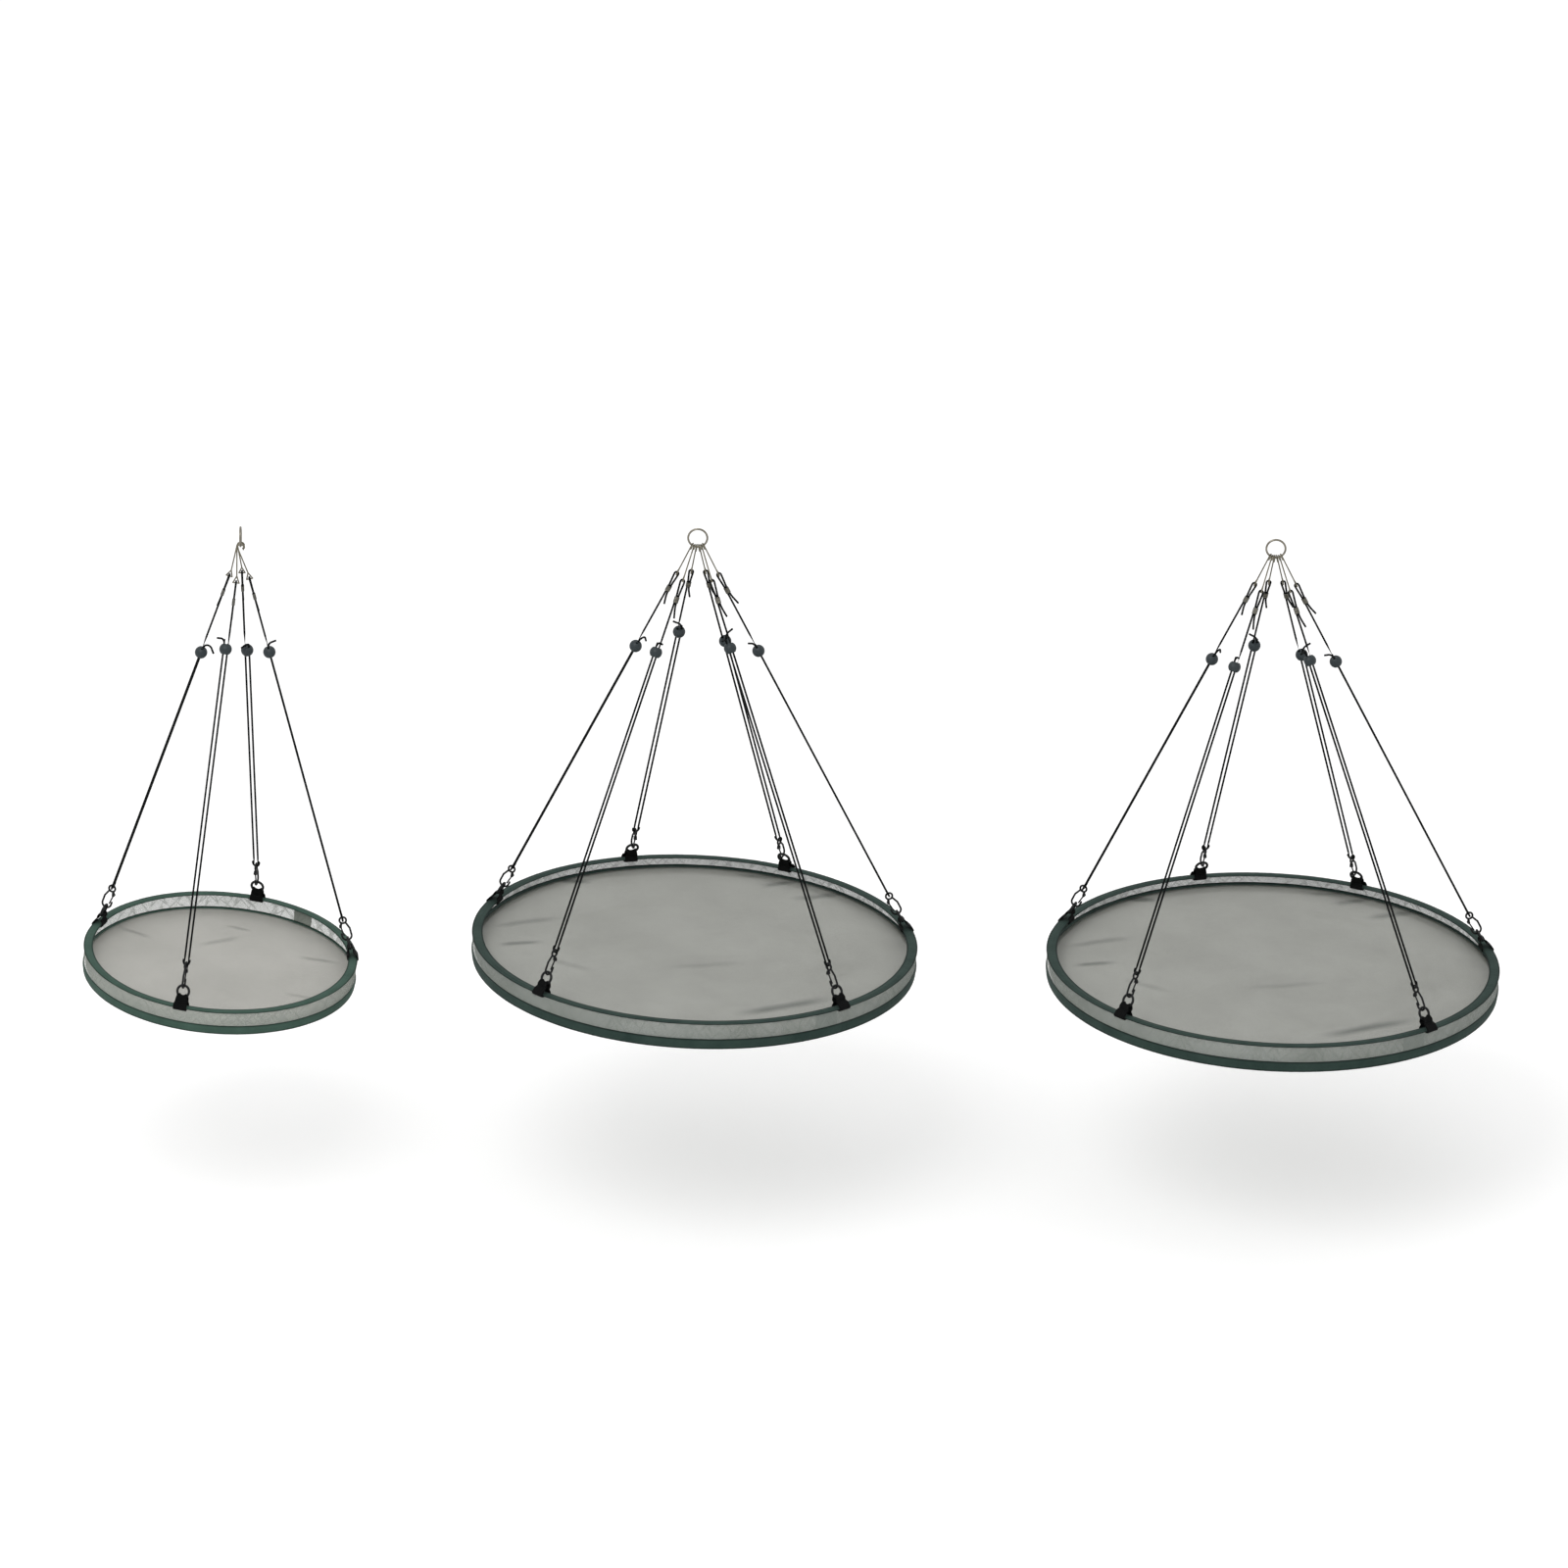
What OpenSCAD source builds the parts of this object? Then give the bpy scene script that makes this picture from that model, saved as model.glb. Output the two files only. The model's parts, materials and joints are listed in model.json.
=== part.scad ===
// A set of three hanging net trays: a small one on four cords, and a medium and a large one on six.
// Each tray is a shallow drum of fine net between two sprung hoops in fabric sleeves.
// Every cord runs from a wire hook on the hanging ring, through a two-hole cord lock, round the
// eye of a snap hook and back up through the lock. The snap hook holds an O-ring in a webbing tab.
// The origin is the centre of the medium tray's hanging ring. +X is to the right, +Z is up.

/* [Trays] */
// Outer diameter of the small tray
small_d = 406; // [340:2:480]
// Outer diameter of the medium tray
medium_d = 660; // [560:2:760]
// Outer diameter of the large tray
large_d = 672; // [560:2:780]
// Height of the small tray's hanging ring over its rim
small_drop = 664; // [560:2:800]
// Height of the medium tray's hanging ring over its rim
medium_drop = 640; // [560:2:800]
// Height of the large tray's hanging ring over its rim
large_drop = 656; // [560:2:800]
// Distance from the medium tray's hanging ring to the small tray's
small_gap = 668; // [620:2:800]
// Distance from the medium tray's hanging ring to the large tray's
large_gap = 845; // [760:5:1000]
// Height of the large tray's hanging ring over the medium one's
large_raise = -17; // [-60:1:60]
// Depth from the centre line of the rim hoop to that of the base hoop
wall_drop = 27; // [25:0.5:60]

/* [Hoops and net] */
// Width of the flat fabric sleeve round each hoop of the medium and large trays
sleeve_w = 16; // [9:0.1:20]
// Width of the small tray's sleeves
small_sleeve_w = 14; // [9:0.1:18]
// Thickness of that sleeve
sleeve_t = 3.4; // [2.8:0.1:4]
// Thickness of its cloth
sleeve_cloth = 0.5; // [0.3:0.05:0.6]
// Diameter of the spring-steel wire in it
hoop_wire_d = 2; // [1.2:0.1:2]
// Thickness of the net
net_t = 0.8; // [0.5:0.1:1.2]
// Height of the net floor over the middle of its hoop
floor_rise = 3; // [0:0.1:4]
// Number of soft folds round each net wall
wall_folds = 24; // [8:1:32]
// Depth of a fold
fold_depth = 1.2; // [0:0.1:1.4]

/* [Cords] */
// Diameter of the cord
cord_d = 2.6; // [2:0.1:3]
// Length of the free end beside the ferrule
ferrule_tail = 22; // [10:1:30]
// Length of the free end that curls out of the lock
lock_tail = 19; // [12:1:26]

/* [Cord locks] */
// Diameter of the ball
lock_d = 18.5; // [16:0.5:22]
// Height of the ball between its flats
lock_h = 14.5; // [12:0.5:15]
// Rim broken at each mouth of a hole
lock_chamfer = 0.6; // [0.2:0.1:0.8]

/* [Snap hooks] */
// Length of a snap hook from end to end
snap_len = 41; // [38:0.5:48]
// Diameter of its wire
snap_wire = 3; // [2.4:0.1:3.4]
// Mean radius of its bottom bend
snap_bend = 7; // [6.5:0.1:8]
// Mean radius of its eye
snap_eye = 5; // [4.6:0.1:7]
// Diameter of the gate's wire
gate_wire = 2.2; // [1.6:0.1:2.4]
// Diameter of the pin that the gate turns on
pin_d = 1.4; // [1:0.1:1.6]

/* [Tabs and O-rings] */
// Outer diameter of an O-ring
oring_d = 21.5; // [19:0.5:28]
// Diameter of its wire
oring_wire = 3.8; // [2.5:0.1:4]
// Width of a tab at the rim
tab_w = 25; // [19:0.5:30]
// Width of a tab at the middle of its O-ring
tab_neck = 18; // [12:0.5:19]
// Height of the O-ring's wire over the middle of the rim
tab_h = 14; // [12:0.5:17]
// Thickness of the webbing
webbing_t = 1.3; // [0.8:0.1:1.6]

/* [Hanging rings and hooks] */
// Outer diameter of a hanging ring
ring_d = 31; // [29:0.5:40]
// Diameter of its wire
ring_wire = 3; // [2.5:0.1:3.2]
// Angle between one hook and the next on the ring
fan_step = 14; // [14:0.5:16]
// Length of a hook's shank, from the middle of its bend to its eye
shank_len = 42; // [34:1:55]
// Diameter of a hook's wire
hook_wire = 2; // [1.6:0.1:2]
// Mean radius of a hook's bend
hook_bend = 5; // [4.8:0.1:6]
// Length of a hook's three-cornered eye
hook_eye = 10; // [8:0.5:14]
// Width of that eye
hook_eye_w = 11; // [10.5:0.5:13]
// Length of a ferrule
ferrule_len = 9; // [6:0.5:12]
// Thickness of a ferrule's metal
ferrule_t = 0.9; // [0.6:0.1:1.2]
// Length of the cord's loop between hook and ferrule
loop_len = 24; // [18:1:30]
// Mean radius of that loop where it goes over the hook's eye
loop_r = 3; // [2.8:0.1:3.4]

/* [Fits] */
// Gap between soft or loose pieces that bear on each other
seat = 0.3; // [0.2:0.05:0.4]
// Gap all round a pin or a cord in its hole
hole_gap = 0.15; // [0.1:0.05:0.25]

/* [Hidden] */
$fn = 28;
SIZES = ["small", "medium", "large"];
CORDS = [4, 6, 6];
PIECES = ["top_hooks", "cords", "snap_hooks", "o_rings", "webbing_tabs", "rim_hoop", "net_wall",
          "base_hoop", "net_floor"];

// Places that differ from tray to tray: the small tray first, then the medium and the large one.
tray_d = [small_d, medium_d, large_d];
ring_at = [[-small_gap, 0, 2], [0, 0, 0], [large_gap, 0, large_raise]];
ring_turn = [90, 0, 0];          // which way each hanging ring faces
rim_at = [[-40, 0, -small_drop], [-6, 0, -medium_drop], [5, 0, -large_drop]];
rim_pitch = [2.2, -1.6, -1.4];   // front side low
rim_roll = [4.5, 2.5, 2.3];      // right side low
base_pitch = [-0.4, 0.75, 0.75]; // the base hoop's own, on top of the rim's
base_sag = [2.4, 0, 0];          // how much lower than wall_drop it hangs
rim_lean = [90, 90, 90];         // the rim's sleeve lies over inwards from upright
// Each cord's place round the rim, counted from +X towards +Y
cord_turn = [[159, 76, 5, 255], [13, 65, 108, 158, 226, 312], [13, 65, 108, 158, 226, 312]];
// Distance of each cord's lock below the hanging ring
lock_depth = [[190, 198, 173, 153], [193, 205, 190, 197, 165, 155], [194, 212, 196, 200, 170, 158]];
// Which way each cord's free end curls, about the cord
curl_turn = [[200, 60, 300, 150], [30, 250, 320, 160, 100, 210], [40, 240, 310, 170, 110, 200]];

oring_r = (oring_d - oring_wire) / 2;
ring_r = (ring_d - ring_wire) / 2;
leg_x = snap_wire / 2 + cord_d / 2 + seat;         // each leg of the cord from the middle of its pair
pair_x = cord_d / 2 + 0.1;                         // the same at the ferrule, where they touch
oring_z = tab_h + oring_r;                         // heights along a cord, from the rim
snap_z = oring_z + oring_r - snap_wire / 2 - oring_wire / 2 - seat;
eye_z = snap_z + snap_len - snap_wire - snap_eye;
turn_z = eye_z + snap_eye;
bend_z = -(hook_bend - hook_wire / 2 - ring_wire / 2 - seat);   // and from the hanging ring down
shank_z = bend_z - shank_len;
bar_z = shank_z - hook_eye;
loop_z = bar_z - (loop_r - hook_wire / 2 - cord_d / 2 - seat);
ferrule_z = bar_z - loop_len;
join_z = ferrule_z - ferrule_len - 0.5;

// --- Small tools -----------------------------------------------------------------------------

function unit(v) = v / norm(v);
function square_to(v, z) = unit(v - (v * z) * z);
function frame(x, y, z, p) = [for (i = [0:2]) [x[i], y[i], z[i], p[i]]];
function turn_x(a) = [[1, 0, 0], [0, cos(a), -sin(a)], [0, sin(a), cos(a)]];
function turn_y(a) = [[cos(a), 0, sin(a)], [0, 1, 0], [-sin(a), 0, cos(a)]];
function turn_z(a) = [[cos(a), -sin(a), 0], [sin(a), cos(a), 0], [0, 0, 1]];
function column(m, i) = [for (row = m) row[i]];

// A round wire or cord is drawn as bars and bows that stop a hair short of each other, with a ball
// a hair thicker than the wire over each join.
hair = 0.05;
module ball(p, d) {
  translate(p) sphere(d = d + hair);
}

// A straight round bar from p to q.
module bar(p, q, d) {
  v = q - p;
  translate(p) rotate([0, acos(v[2] / norm(v)), atan2(v[1], v[0])])
    translate([0, 0, hair]) cylinder(h = norm(v) - 2 * hair, d = d);
}

// Round bars along a row of points, with a ball at each corner between them.
module bent_bar(points, d) {
  for (i = [1:len(points) - 1]) bar(points[i - 1], points[i], d);
  for (i = [1:len(points) - 2]) ball(points[i], d);
}

// A bent round bar in the XZ plane, from one angle to another above +X.
module bow(r, d, from, to) {
  gap = hair / r * 180 / PI;
  rotate([90, 0, 0]) rotate([0, 0, from + gap]) rotate_extrude(angle = to - from - 2 * gap)
    translate([r, 0]) circle(d = d);
}

function on_bow(r, a, z) = [r * cos(a), 0, z + r * sin(a)];

module ring(r, d) {
  rotate_extrude($fn = 60) translate([r, 0]) circle(d = d, $fn = 20);
}

// The outline round a row of discs [y, z, radius], as the far point of the discs on each bearing.
function outline(discs, step = 20) = [
  for (a = [0:step:359])
    let (d = [cos(a), sin(a)],
         reach = [for (c = discs) [c[0], c[1]] * d + c[2]],
         c = discs[search(max(reach), reach)[0]])
    [c[0], c[1]] + c[2] * d];

// --- Tray geometry ---------------------------------------------------------------------------

function wide(t) = t == 0 ? small_sleeve_w : sleeve_w;
function flat_half(t) = (wide(t) - sleeve_t) / 2;
function rim_r(t) = tray_d[t] / 2 - sleeve_t / 2 - flat_half(t) * sin(rim_lean[t]);
function wall_r(t) = tray_d[t] / 2 - sleeve_t / 2;
function drop(t) = wall_drop + base_sag[t];
function tray_turn(t) = turn_y(rim_roll[t]) * turn_x(rim_pitch[t]);
function tray_frame(t) = let (m = tray_turn(t))
  frame(column(m, 0), column(m, 1), column(m, 2), ring_at[t] + rim_at[t]);

// A cord's place on the hanging ring, in the order that the cords fan out.
function fan_side(t, i) = cos(cord_turn[t][i] - ring_turn[t]);
function fan_rank(t, i) = len([for (k = [0:CORDS[t] - 1]) if (fan_side(t, k) < fan_side(t, i)) k]);
function fan_turn(t, i) = (fan_rank(t, i) - (CORDS[t] - 1) / 2) * fan_step;
function hook_at(t, i) = let (b = fan_turn(t, i))
  ring_at[t] + turn_z(ring_turn[t]) * [ring_r * sin(b), 0, -ring_r * cos(b)];
function ring_way(t, i) = let (b = fan_turn(t, i)) turn_z(ring_turn[t]) * [cos(b), 0, sin(b)];

// A cord's own frame: Z up along the cord, X along the rim, and the rim's middle at the origin.
function rim_point(t, i) = let (a = cord_turn[t][i])
  ring_at[t] + rim_at[t] + tray_turn(t) * [rim_r(t) * cos(a), rim_r(t) * sin(a), 0];
function rim_way(t, i) = let (a = cord_turn[t][i]) tray_turn(t) * [-sin(a), cos(a), 0];
function hook_x(t, i) = square_to(ring_way(t, i), unit(hook_at(t, i) - rim_point(t, i)));
function cord_span(t, i) =
  hook_at(t, i) - pair_x * hook_x(t, i) - rim_point(t, i) - leg_x * rim_way(t, i);
function cord_z(t, i) = unit(cord_span(t, i));
function cord_x(t, i) = square_to(rim_way(t, i), cord_z(t, i));
function cord_frame(t, i) = let (x = cord_x(t, i), z = cord_z(t, i))
  frame(x, cross(z, x), z, rim_point(t, i));
function lock_z(t, i) = norm(cord_span(t, i)) - lock_depth[t][i];

// The frame of the tab and its O-ring, with X along the rim itself.
function tab_y(t, i) = unit(cross(cord_z(t, i), rim_way(t, i)));
function tab_z(t, i) = cross(rim_way(t, i), tab_y(t, i));
function tab_frame(t, i) = frame(rim_way(t, i), tab_y(t, i), tab_z(t, i), rim_point(t, i));

// The hook's frame: Z up along the cord, X along the hanging ring's wire, and the wire's middle at
// the origin.
function hook_frame(t, i) = let (z = cord_z(t, i), x = square_to(ring_way(t, i), z))
  frame(x, cross(z, x), z, hook_at(t, i));

// --- Pieces of a cord ------------------------------------------------------------------------

hook_turn = 205;      // how far round the hook's bend goes

// An open hook of wire with a three-cornered eye at its foot, hanging on the ring.
module top_hook() {
  start = acos(hook_bend / shank_len) - 90;
  foot = [0, 0, shank_z];
  side = [(hook_eye_w - hook_wire) / 2, 0, 0];
  bottom = [0, 0, bar_z];
  rotate([0, 0, 90]) {
    translate([0, 0, bend_z]) bow(hook_bend, hook_wire, start, hook_turn);
    ball(on_bow(hook_bend, hook_turn, bend_z), hook_wire);
    ball(on_bow(hook_bend, start, bend_z), hook_wire);
    bar(foot, on_bow(hook_bend, start, bend_z), hook_wire);
    bent_bar([foot, bottom + side, bottom - side, foot], hook_wire);
    ball(foot, hook_wire);
  }
}

// A crimped ferrule round the two strands under the loop.
module ferrule() {
  bore = cord_d + 2 * hair;
  translate([0, 0, ferrule_z - ferrule_len]) linear_extrude(ferrule_len) difference() {
    union() {
      for (s = [-1, 1]) translate([s * pair_x, 0]) circle(d = bore + 2 * ferrule_t);
      square([2 * pair_x, bore + 2 * ferrule_t], center = true);
    }
    for (s = [-1, 1]) translate([s * pair_x, 0]) circle(d = bore);
    square([2 * pair_x, bore * 0.6], center = true);
  }
}

// The loop through the hook's eye, with both strands and the free end at the ferrule.
module cord_top() {
  neck_z = ferrule_z + 0.6;
  drop = loop_z - neck_z;
  reach = norm([pair_x, drop]);
  slope = 90 - atan(pair_x / drop) - acos(loop_r / reach);   // how far below level the loop ends
  translate([0, 0, loop_z]) bow(loop_r, cord_d, -slope, 180 + slope);
  for (a = [-slope, 180 + slope]) ball(on_bow(loop_r, a, loop_z), cord_d);
  bent_bar([on_bow(loop_r, 180 + slope, loop_z), [-pair_x, 0, neck_z], [-pair_x, 0, join_z]], cord_d);
  bent_bar([on_bow(loop_r, -slope, loop_z), [pair_x, 0, neck_z], [pair_x, 0, join_z],
            [pair_x + 0.16 * ferrule_tail, 0, join_z - ferrule_tail]], cord_d);
  ball([-pair_x, 0, join_z], cord_d);
}

curl_r = 7;           // the free end's bend over the lock
curl = 100;

// The strand down to the snap hook's eye, round it and up again through the lock, to its free end.
module cord_run(t, i) {
  lock_top = lock_z(t, i) + lock_h / 2;
  rest = lock_tail - curl_r * curl * PI / 180;
  last = [curl_r - curl_r * cos(curl), 0, curl_r * sin(curl)];
  bar([leg_x, 0, turn_z], [leg_x, 0, norm(cord_span(t, i)) + join_z], cord_d);
  bar([-leg_x, 0, turn_z], [-leg_x, 0, lock_top], cord_d);
  translate([0, 0, turn_z]) bow(leg_x, cord_d, 180, 360);
  for (x = [leg_x, -leg_x]) ball([x, 0, turn_z], cord_d);
  translate([-leg_x, 0, lock_top]) rotate([0, 0, curl_turn[t][i]]) {
    ball([0, 0, 0], cord_d);
    translate([curl_r, 0, 0]) bow(curl_r, cord_d, 180 - curl, 180);
    bar(last, last + rest * [sin(curl), 0, cos(curl)], cord_d);
    ball(last, cord_d);
  }
}

// A ball with a flat top and foot and two holes for the cord.
module cord_lock() {
  hole = cord_d + 2 * seat;
  difference() {
    intersection() {
      sphere(d = lock_d, $fn = 48);
      cube([lock_d + 2, lock_d + 2, lock_h], center = true);
    }
    for (s = [-1, 1]) translate([s * leg_x, 0, 0]) {
      cylinder(h = lock_h + 2, d = hole, center = true);
      for (up = [0, 180]) rotate([up, 0, 0]) translate([0, 0, lock_h / 2 - lock_chamfer])
        cylinder(h = lock_chamfer * 2, d1 = hole, d2 = hole + 4 * lock_chamfer);
    }
  }
}

// Places on the snap hook, in its own plane: X inwards from the rim and Z up.
spine_len = 11;       // straight part of the spine over the bottom bend
nose_len = 4.5;       // the same of the nose
foot_turn = 55;       // how far round below level the spine and the arm leave the eye
pivot_in = 5.6;       // the gate's pin, inwards from the middle of the hook
arm_drop = 5;         // and below the arm's root
mid_z = snap_z + snap_bend;
spine_z = mid_z + spine_len;
eye_foot = [snap_eye * cos(foot_turn), eye_z - snap_eye * sin(foot_turn)];
pivot = [pivot_in, eye_foot[1] - arm_drop];
nose_z = mid_z + nose_len;
gate_rest = [snap_bend - snap_wire / 2 - gate_wire / 2 - hole_gap - hair, nose_z];
gate_lap = 3;         // how far the gate's tip reaches below the nose
gate_tip = gate_rest + gate_lap / (pivot[1] - nose_z) * (gate_rest - pivot);
gate_eye_d = 4.4;     // the gate's flattened eye
gate_eye_t = 2.4;
cheek_t = 0.9;        // each cheek of the fork that holds the pin
pin_proud = 0.2;      // how far the pin stands out of each cheek

// The snap hook's body: eye, spine, bottom bend and nose, with a fork and pin for the gate.
module snap_hook() {
  cheek_x = gate_eye_t / 2 + hole_gap;
  arm = [eye_foot[0] - pivot[0], eye_foot[1] - pivot[1]];
  rotate([0, 0, 90]) {
    translate([0, 0, eye_z]) rotate([90, 0, 0]) ring(snap_eye, snap_wire);
    bent_bar([[-snap_bend, 0, mid_z], [-snap_bend, 0, spine_z], [-eye_foot[0], 0, eye_foot[1]]], snap_wire);
    translate([0, 0, mid_z]) bow(snap_bend, snap_wire, 180, 360);
    bar([snap_bend, 0, mid_z], [snap_bend, 0, nose_z], snap_wire);
    for (x = [-snap_bend, snap_bend]) ball([x, 0, mid_z], snap_wire);
    for (x = [-eye_foot[0], eye_foot[0]]) ball([x, 0, eye_foot[1]], snap_wire);
    ball([snap_bend, 0, nose_z], snap_wire);
    difference() {
      bar([eye_foot[0], 0, eye_foot[1]], [pivot[0], 0, pivot[1]], snap_wire);
      translate([pivot[0], 0, pivot[1]]) rotate([90, 0, 0])
        cylinder(h = 6, d = gate_eye_d + 2 * seat, center = true);
    }
    for (s = [-1, 1]) translate([pivot[0], s * (cheek_x + cheek_t / 2), pivot[1]])
      rotate([0, atan2(arm[0], arm[1]), 0]) {
        rotate([90, 0, 0]) cylinder(h = cheek_t, d = gate_eye_d, center = true);
        translate([0, 0, 2]) cube([snap_wire, cheek_t, 4], center = true);
      }
    translate([pivot[0], 0, pivot[1]]) rotate([90, 0, 0])
      cylinder(h = 2 * (cheek_x + cheek_t + pin_proud), d = pin_d, center = true);
  }
}

// The gate, a wire lever that rests inside the nose.
module snap_gate() {
  rotate([0, 0, 90]) difference() {
    union() {
      translate([pivot[0], 0, pivot[1]]) rotate([90, 0, 0])
        cylinder(h = gate_eye_t, d = gate_eye_d, center = true);
      bar([pivot[0], 0, pivot[1]], [gate_tip[0], 0, gate_tip[1]], gate_wire);
      ball([gate_tip[0], 0, gate_tip[1]], gate_wire);
    }
    translate([pivot[0], 0, pivot[1]]) rotate([90, 0, 0])
      cylinder(h = 6, d = pin_d + 2 * hole_gap, center = true);
  }
}

tab_wrap = 62;        // how far up each side of its O-ring a tab reaches, in degrees from its foot

// A band of webbing sewn round the rim's sleeve, with its upper end round the O-ring.
module webbing_tab(t, i) {
  a = cord_turn[t][i];
  lean = rim_lean[t];
  across = tray_turn(t) * [-sin(lean) * cos(a), -sin(lean) * sin(a), cos(lean)];
  end = flat_half(t) * [across * tab_y(t, i), across * tab_z(t, i)];
  inner = sleeve_t / 2 + seat;
  bend = pow(tab_w / 2, 2) / 2 / rim_r(t);      // how far the hoop bends over the tab's width
  head = end + bend * unit(end);
  loop = oring_wire / 2 + seat;
  discs = [[head[0], head[1], inner], [-end[0], -end[1], inner], [0, tab_h, loop]];
  grown = [for (c = discs) [c[0], c[1], c[2] + webbing_t]];
  far = wide(t);
  side = [[tab_w / 2, -far], [tab_w / 2, sleeve_t], [tab_neck / 2, oring_z]];
  difference() {
    intersection() {
      union() {
        rotate([90, 0, 90]) linear_extrude(tab_w, center = true) polygon(outline(grown));
        translate([0, 0, oring_z]) bow(oring_r, 2 * (loop + webbing_t), 270 - tab_wrap, 270 + tab_wrap);
      }
      rotate([90, 0, 0]) linear_extrude(4 * far, center = true)
        polygon(concat([for (c = side) c], [for (k = [len(side) - 1:-1:0]) [-side[k][0], side[k][1]]]));
    }
    rotate([90, 0, 90]) linear_extrude(tab_w + 2, center = true) polygon(outline(discs));
    translate([0, 0, oring_z]) rotate([90, 0, 0]) ring(oring_r, 2 * loop);
  }
}

// --- The drum --------------------------------------------------------------------------------

// Cross-section of a sleeve, hollow or filled, leaning inwards from upright. Its edges are folded
// cloth, in four flats each.
module sleeve_profile(half, lean, shrink = 0) {
  r = sleeve_t / 2 - shrink;
  edge = [for (a = [0:45:180]) [r * cos(a), half + r * sin(a)]];
  rotate(lean) polygon([for (s = [1, -1], p = edge) s * p]);
}

// A sprung hoop: the fabric sleeve and the wire inside it.
module hoop(r, half, lean) {
  rotate_extrude($fn = 180) translate([r, 0]) difference() {
    sleeve_profile(half, lean);
    sleeve_profile(half, lean, sleeve_cloth);
  }
  rotate_extrude($fn = 180) translate([r, 0]) circle(d = hoop_wire_d);
}

// The wall of net from the rim's outer edge down to the base hoop, in soft folds. Its upper edge
// dips under each tab.
module net_wall(t) {
  segments = 96;
  rows = 4;
  mm = 180 / PI / wall_r(t);       // degrees round the wall in one millimetre
  dip = [tab_w / 2 + 1, tab_w / 2 + 4] * mm;
  angles = [for (k = [0:segments - 1]) let (a = 360 / segments * k, b = a + 360 / segments) each
    concat([a], [for (c = cord_turn[t], e = [-dip[1], -dip[0], dip[0], dip[1]])
      let (at = (c + e + 360) % 360) if (at > a && at < b) at])];
  n = len(angles);
  function from_tab(a) = min([for (c = cord_turn[t]) abs((a - c + 540) % 360 - 180)]);
  function head(a) = -flat_half(t) * cos(rim_lean[t]) - sleeve_t / 2 - seat
    - (webbing_t + seat) * max(0, min(1, (dip[1] - from_tab(a)) / (dip[1] - dip[0])));
  function foot(a) = -drop(t) + wide(t) / 2 + seat + wall_r(t) * sin(a) * tan(base_pitch[t]);
  function spot(k, j, side) = let (a = angles[k], s = j / rows,
      r = wall_r(t) + side * net_t / 2 + fold_depth * sin(wall_folds * a) * sin(180 * s) / 2)
    [r * cos(a), r * sin(a), head(a) + (foot(a) - head(a)) * s];
  points = [for (side = [1, -1], j = [0:rows], k = [0:n - 1]) spot(k, j, side)];
  function id(side, j, k) = side * (rows + 1) * n + j * n + k % n;
  function two(a, b, c, d) = [[a, b, c], [a, c, d]];
  faces = concat(
    [for (j = [0:rows - 1], k = [0:n - 1]) each concat(
      two(id(0, j, k), id(0, j, k + 1), id(0, j + 1, k + 1), id(0, j + 1, k)),
      two(id(1, j, k), id(1, j + 1, k), id(1, j + 1, k + 1), id(1, j, k + 1)))],
    [for (k = [0:n - 1]) each concat(
      two(id(0, 0, k), id(1, 0, k), id(1, 0, k + 1), id(0, 0, k + 1)),
      two(id(0, rows, k), id(0, rows, k + 1), id(1, rows, k + 1), id(1, rows, k)))]);
  color([0.72, 0.74, 0.72]) multmatrix(tray_frame(t)) polyhedron(points, faces);
}

module at_base(t) {
  multmatrix(tray_frame(t)) translate([0, 0, -drop(t)]) rotate([base_pitch[t], 0, 0]) children();
}

// --- Nodes -----------------------------------------------------------------------------------

module hanging_rings() {
  color("silver") for (t = [0:2]) translate(ring_at[t]) rotate([90, 0, ring_turn[t]]) ring(ring_r, ring_wire);
}

module top_hooks(t) {
  color([0.62, 0.6, 0.52]) for (i = [0:CORDS[t] - 1]) multmatrix(hook_frame(t, i)) {
    top_hook();
    ferrule();
  }
}

module cords(t) {
  color([0.07, 0.08, 0.08]) for (i = [0:CORDS[t] - 1]) union() {
    multmatrix(hook_frame(t, i)) cord_top();
    multmatrix(cord_frame(t, i)) cord_run(t, i);
  }
}

module snap_hooks(t) {
  color([0.1, 0.1, 0.1]) for (i = [0:CORDS[t] - 1]) multmatrix(cord_frame(t, i)) snap_hook();
}

module o_rings(t) {
  color([0.14, 0.14, 0.14]) for (i = [0:CORDS[t] - 1])
    multmatrix(tab_frame(t, i)) translate([0, 0, oring_z]) rotate([90, 0, 0]) ring(oring_r, oring_wire);
}

module webbing_tabs(t) {
  color([0.08, 0.09, 0.09]) for (i = [0:CORDS[t] - 1]) multmatrix(tab_frame(t, i)) webbing_tab(t, i);
}

module rim_hoop(t) {
  color([0.24, 0.35, 0.31]) multmatrix(tray_frame(t)) hoop(rim_r(t), flat_half(t), rim_lean[t]);
}

module base_hoop(t) {
  color([0.2, 0.3, 0.27]) at_base(t) hoop(wall_r(t), flat_half(t), 0);
}

module net_floor(t) {
  color([0.66, 0.67, 0.64]) at_base(t) translate([0, 0, floor_rise])
    cylinder(h = net_t, r = wall_r(t) - sleeve_t / 2 - seat, center = true, $fn = 180);
}

module lock_node(t, i) {
  color([0.18, 0.24, 0.25]) multmatrix(cord_frame(t, i)) translate([0, 0, lock_z(t, i)]) cord_lock();
}

module gate_node(t, i) {
  color([0.12, 0.12, 0.12]) multmatrix(cord_frame(t, i)) snap_gate();
}

hanging_rings();
for (t = [0:2]) {
  size = SIZES[t];
  top_hooks(t);
  cords(t);
  snap_hooks(t);
  o_rings(t);
  webbing_tabs(t);
  rim_hoop(t);
  net_wall(t);
  base_hoop(t);
  net_floor(t);
  for (i = [0:CORDS[t] - 1]) {
    lock_node(t, i);
    gate_node(t, i);
  }
}
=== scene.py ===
import bpy
import json
import math
import numpy as np
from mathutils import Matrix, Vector, noise


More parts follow.
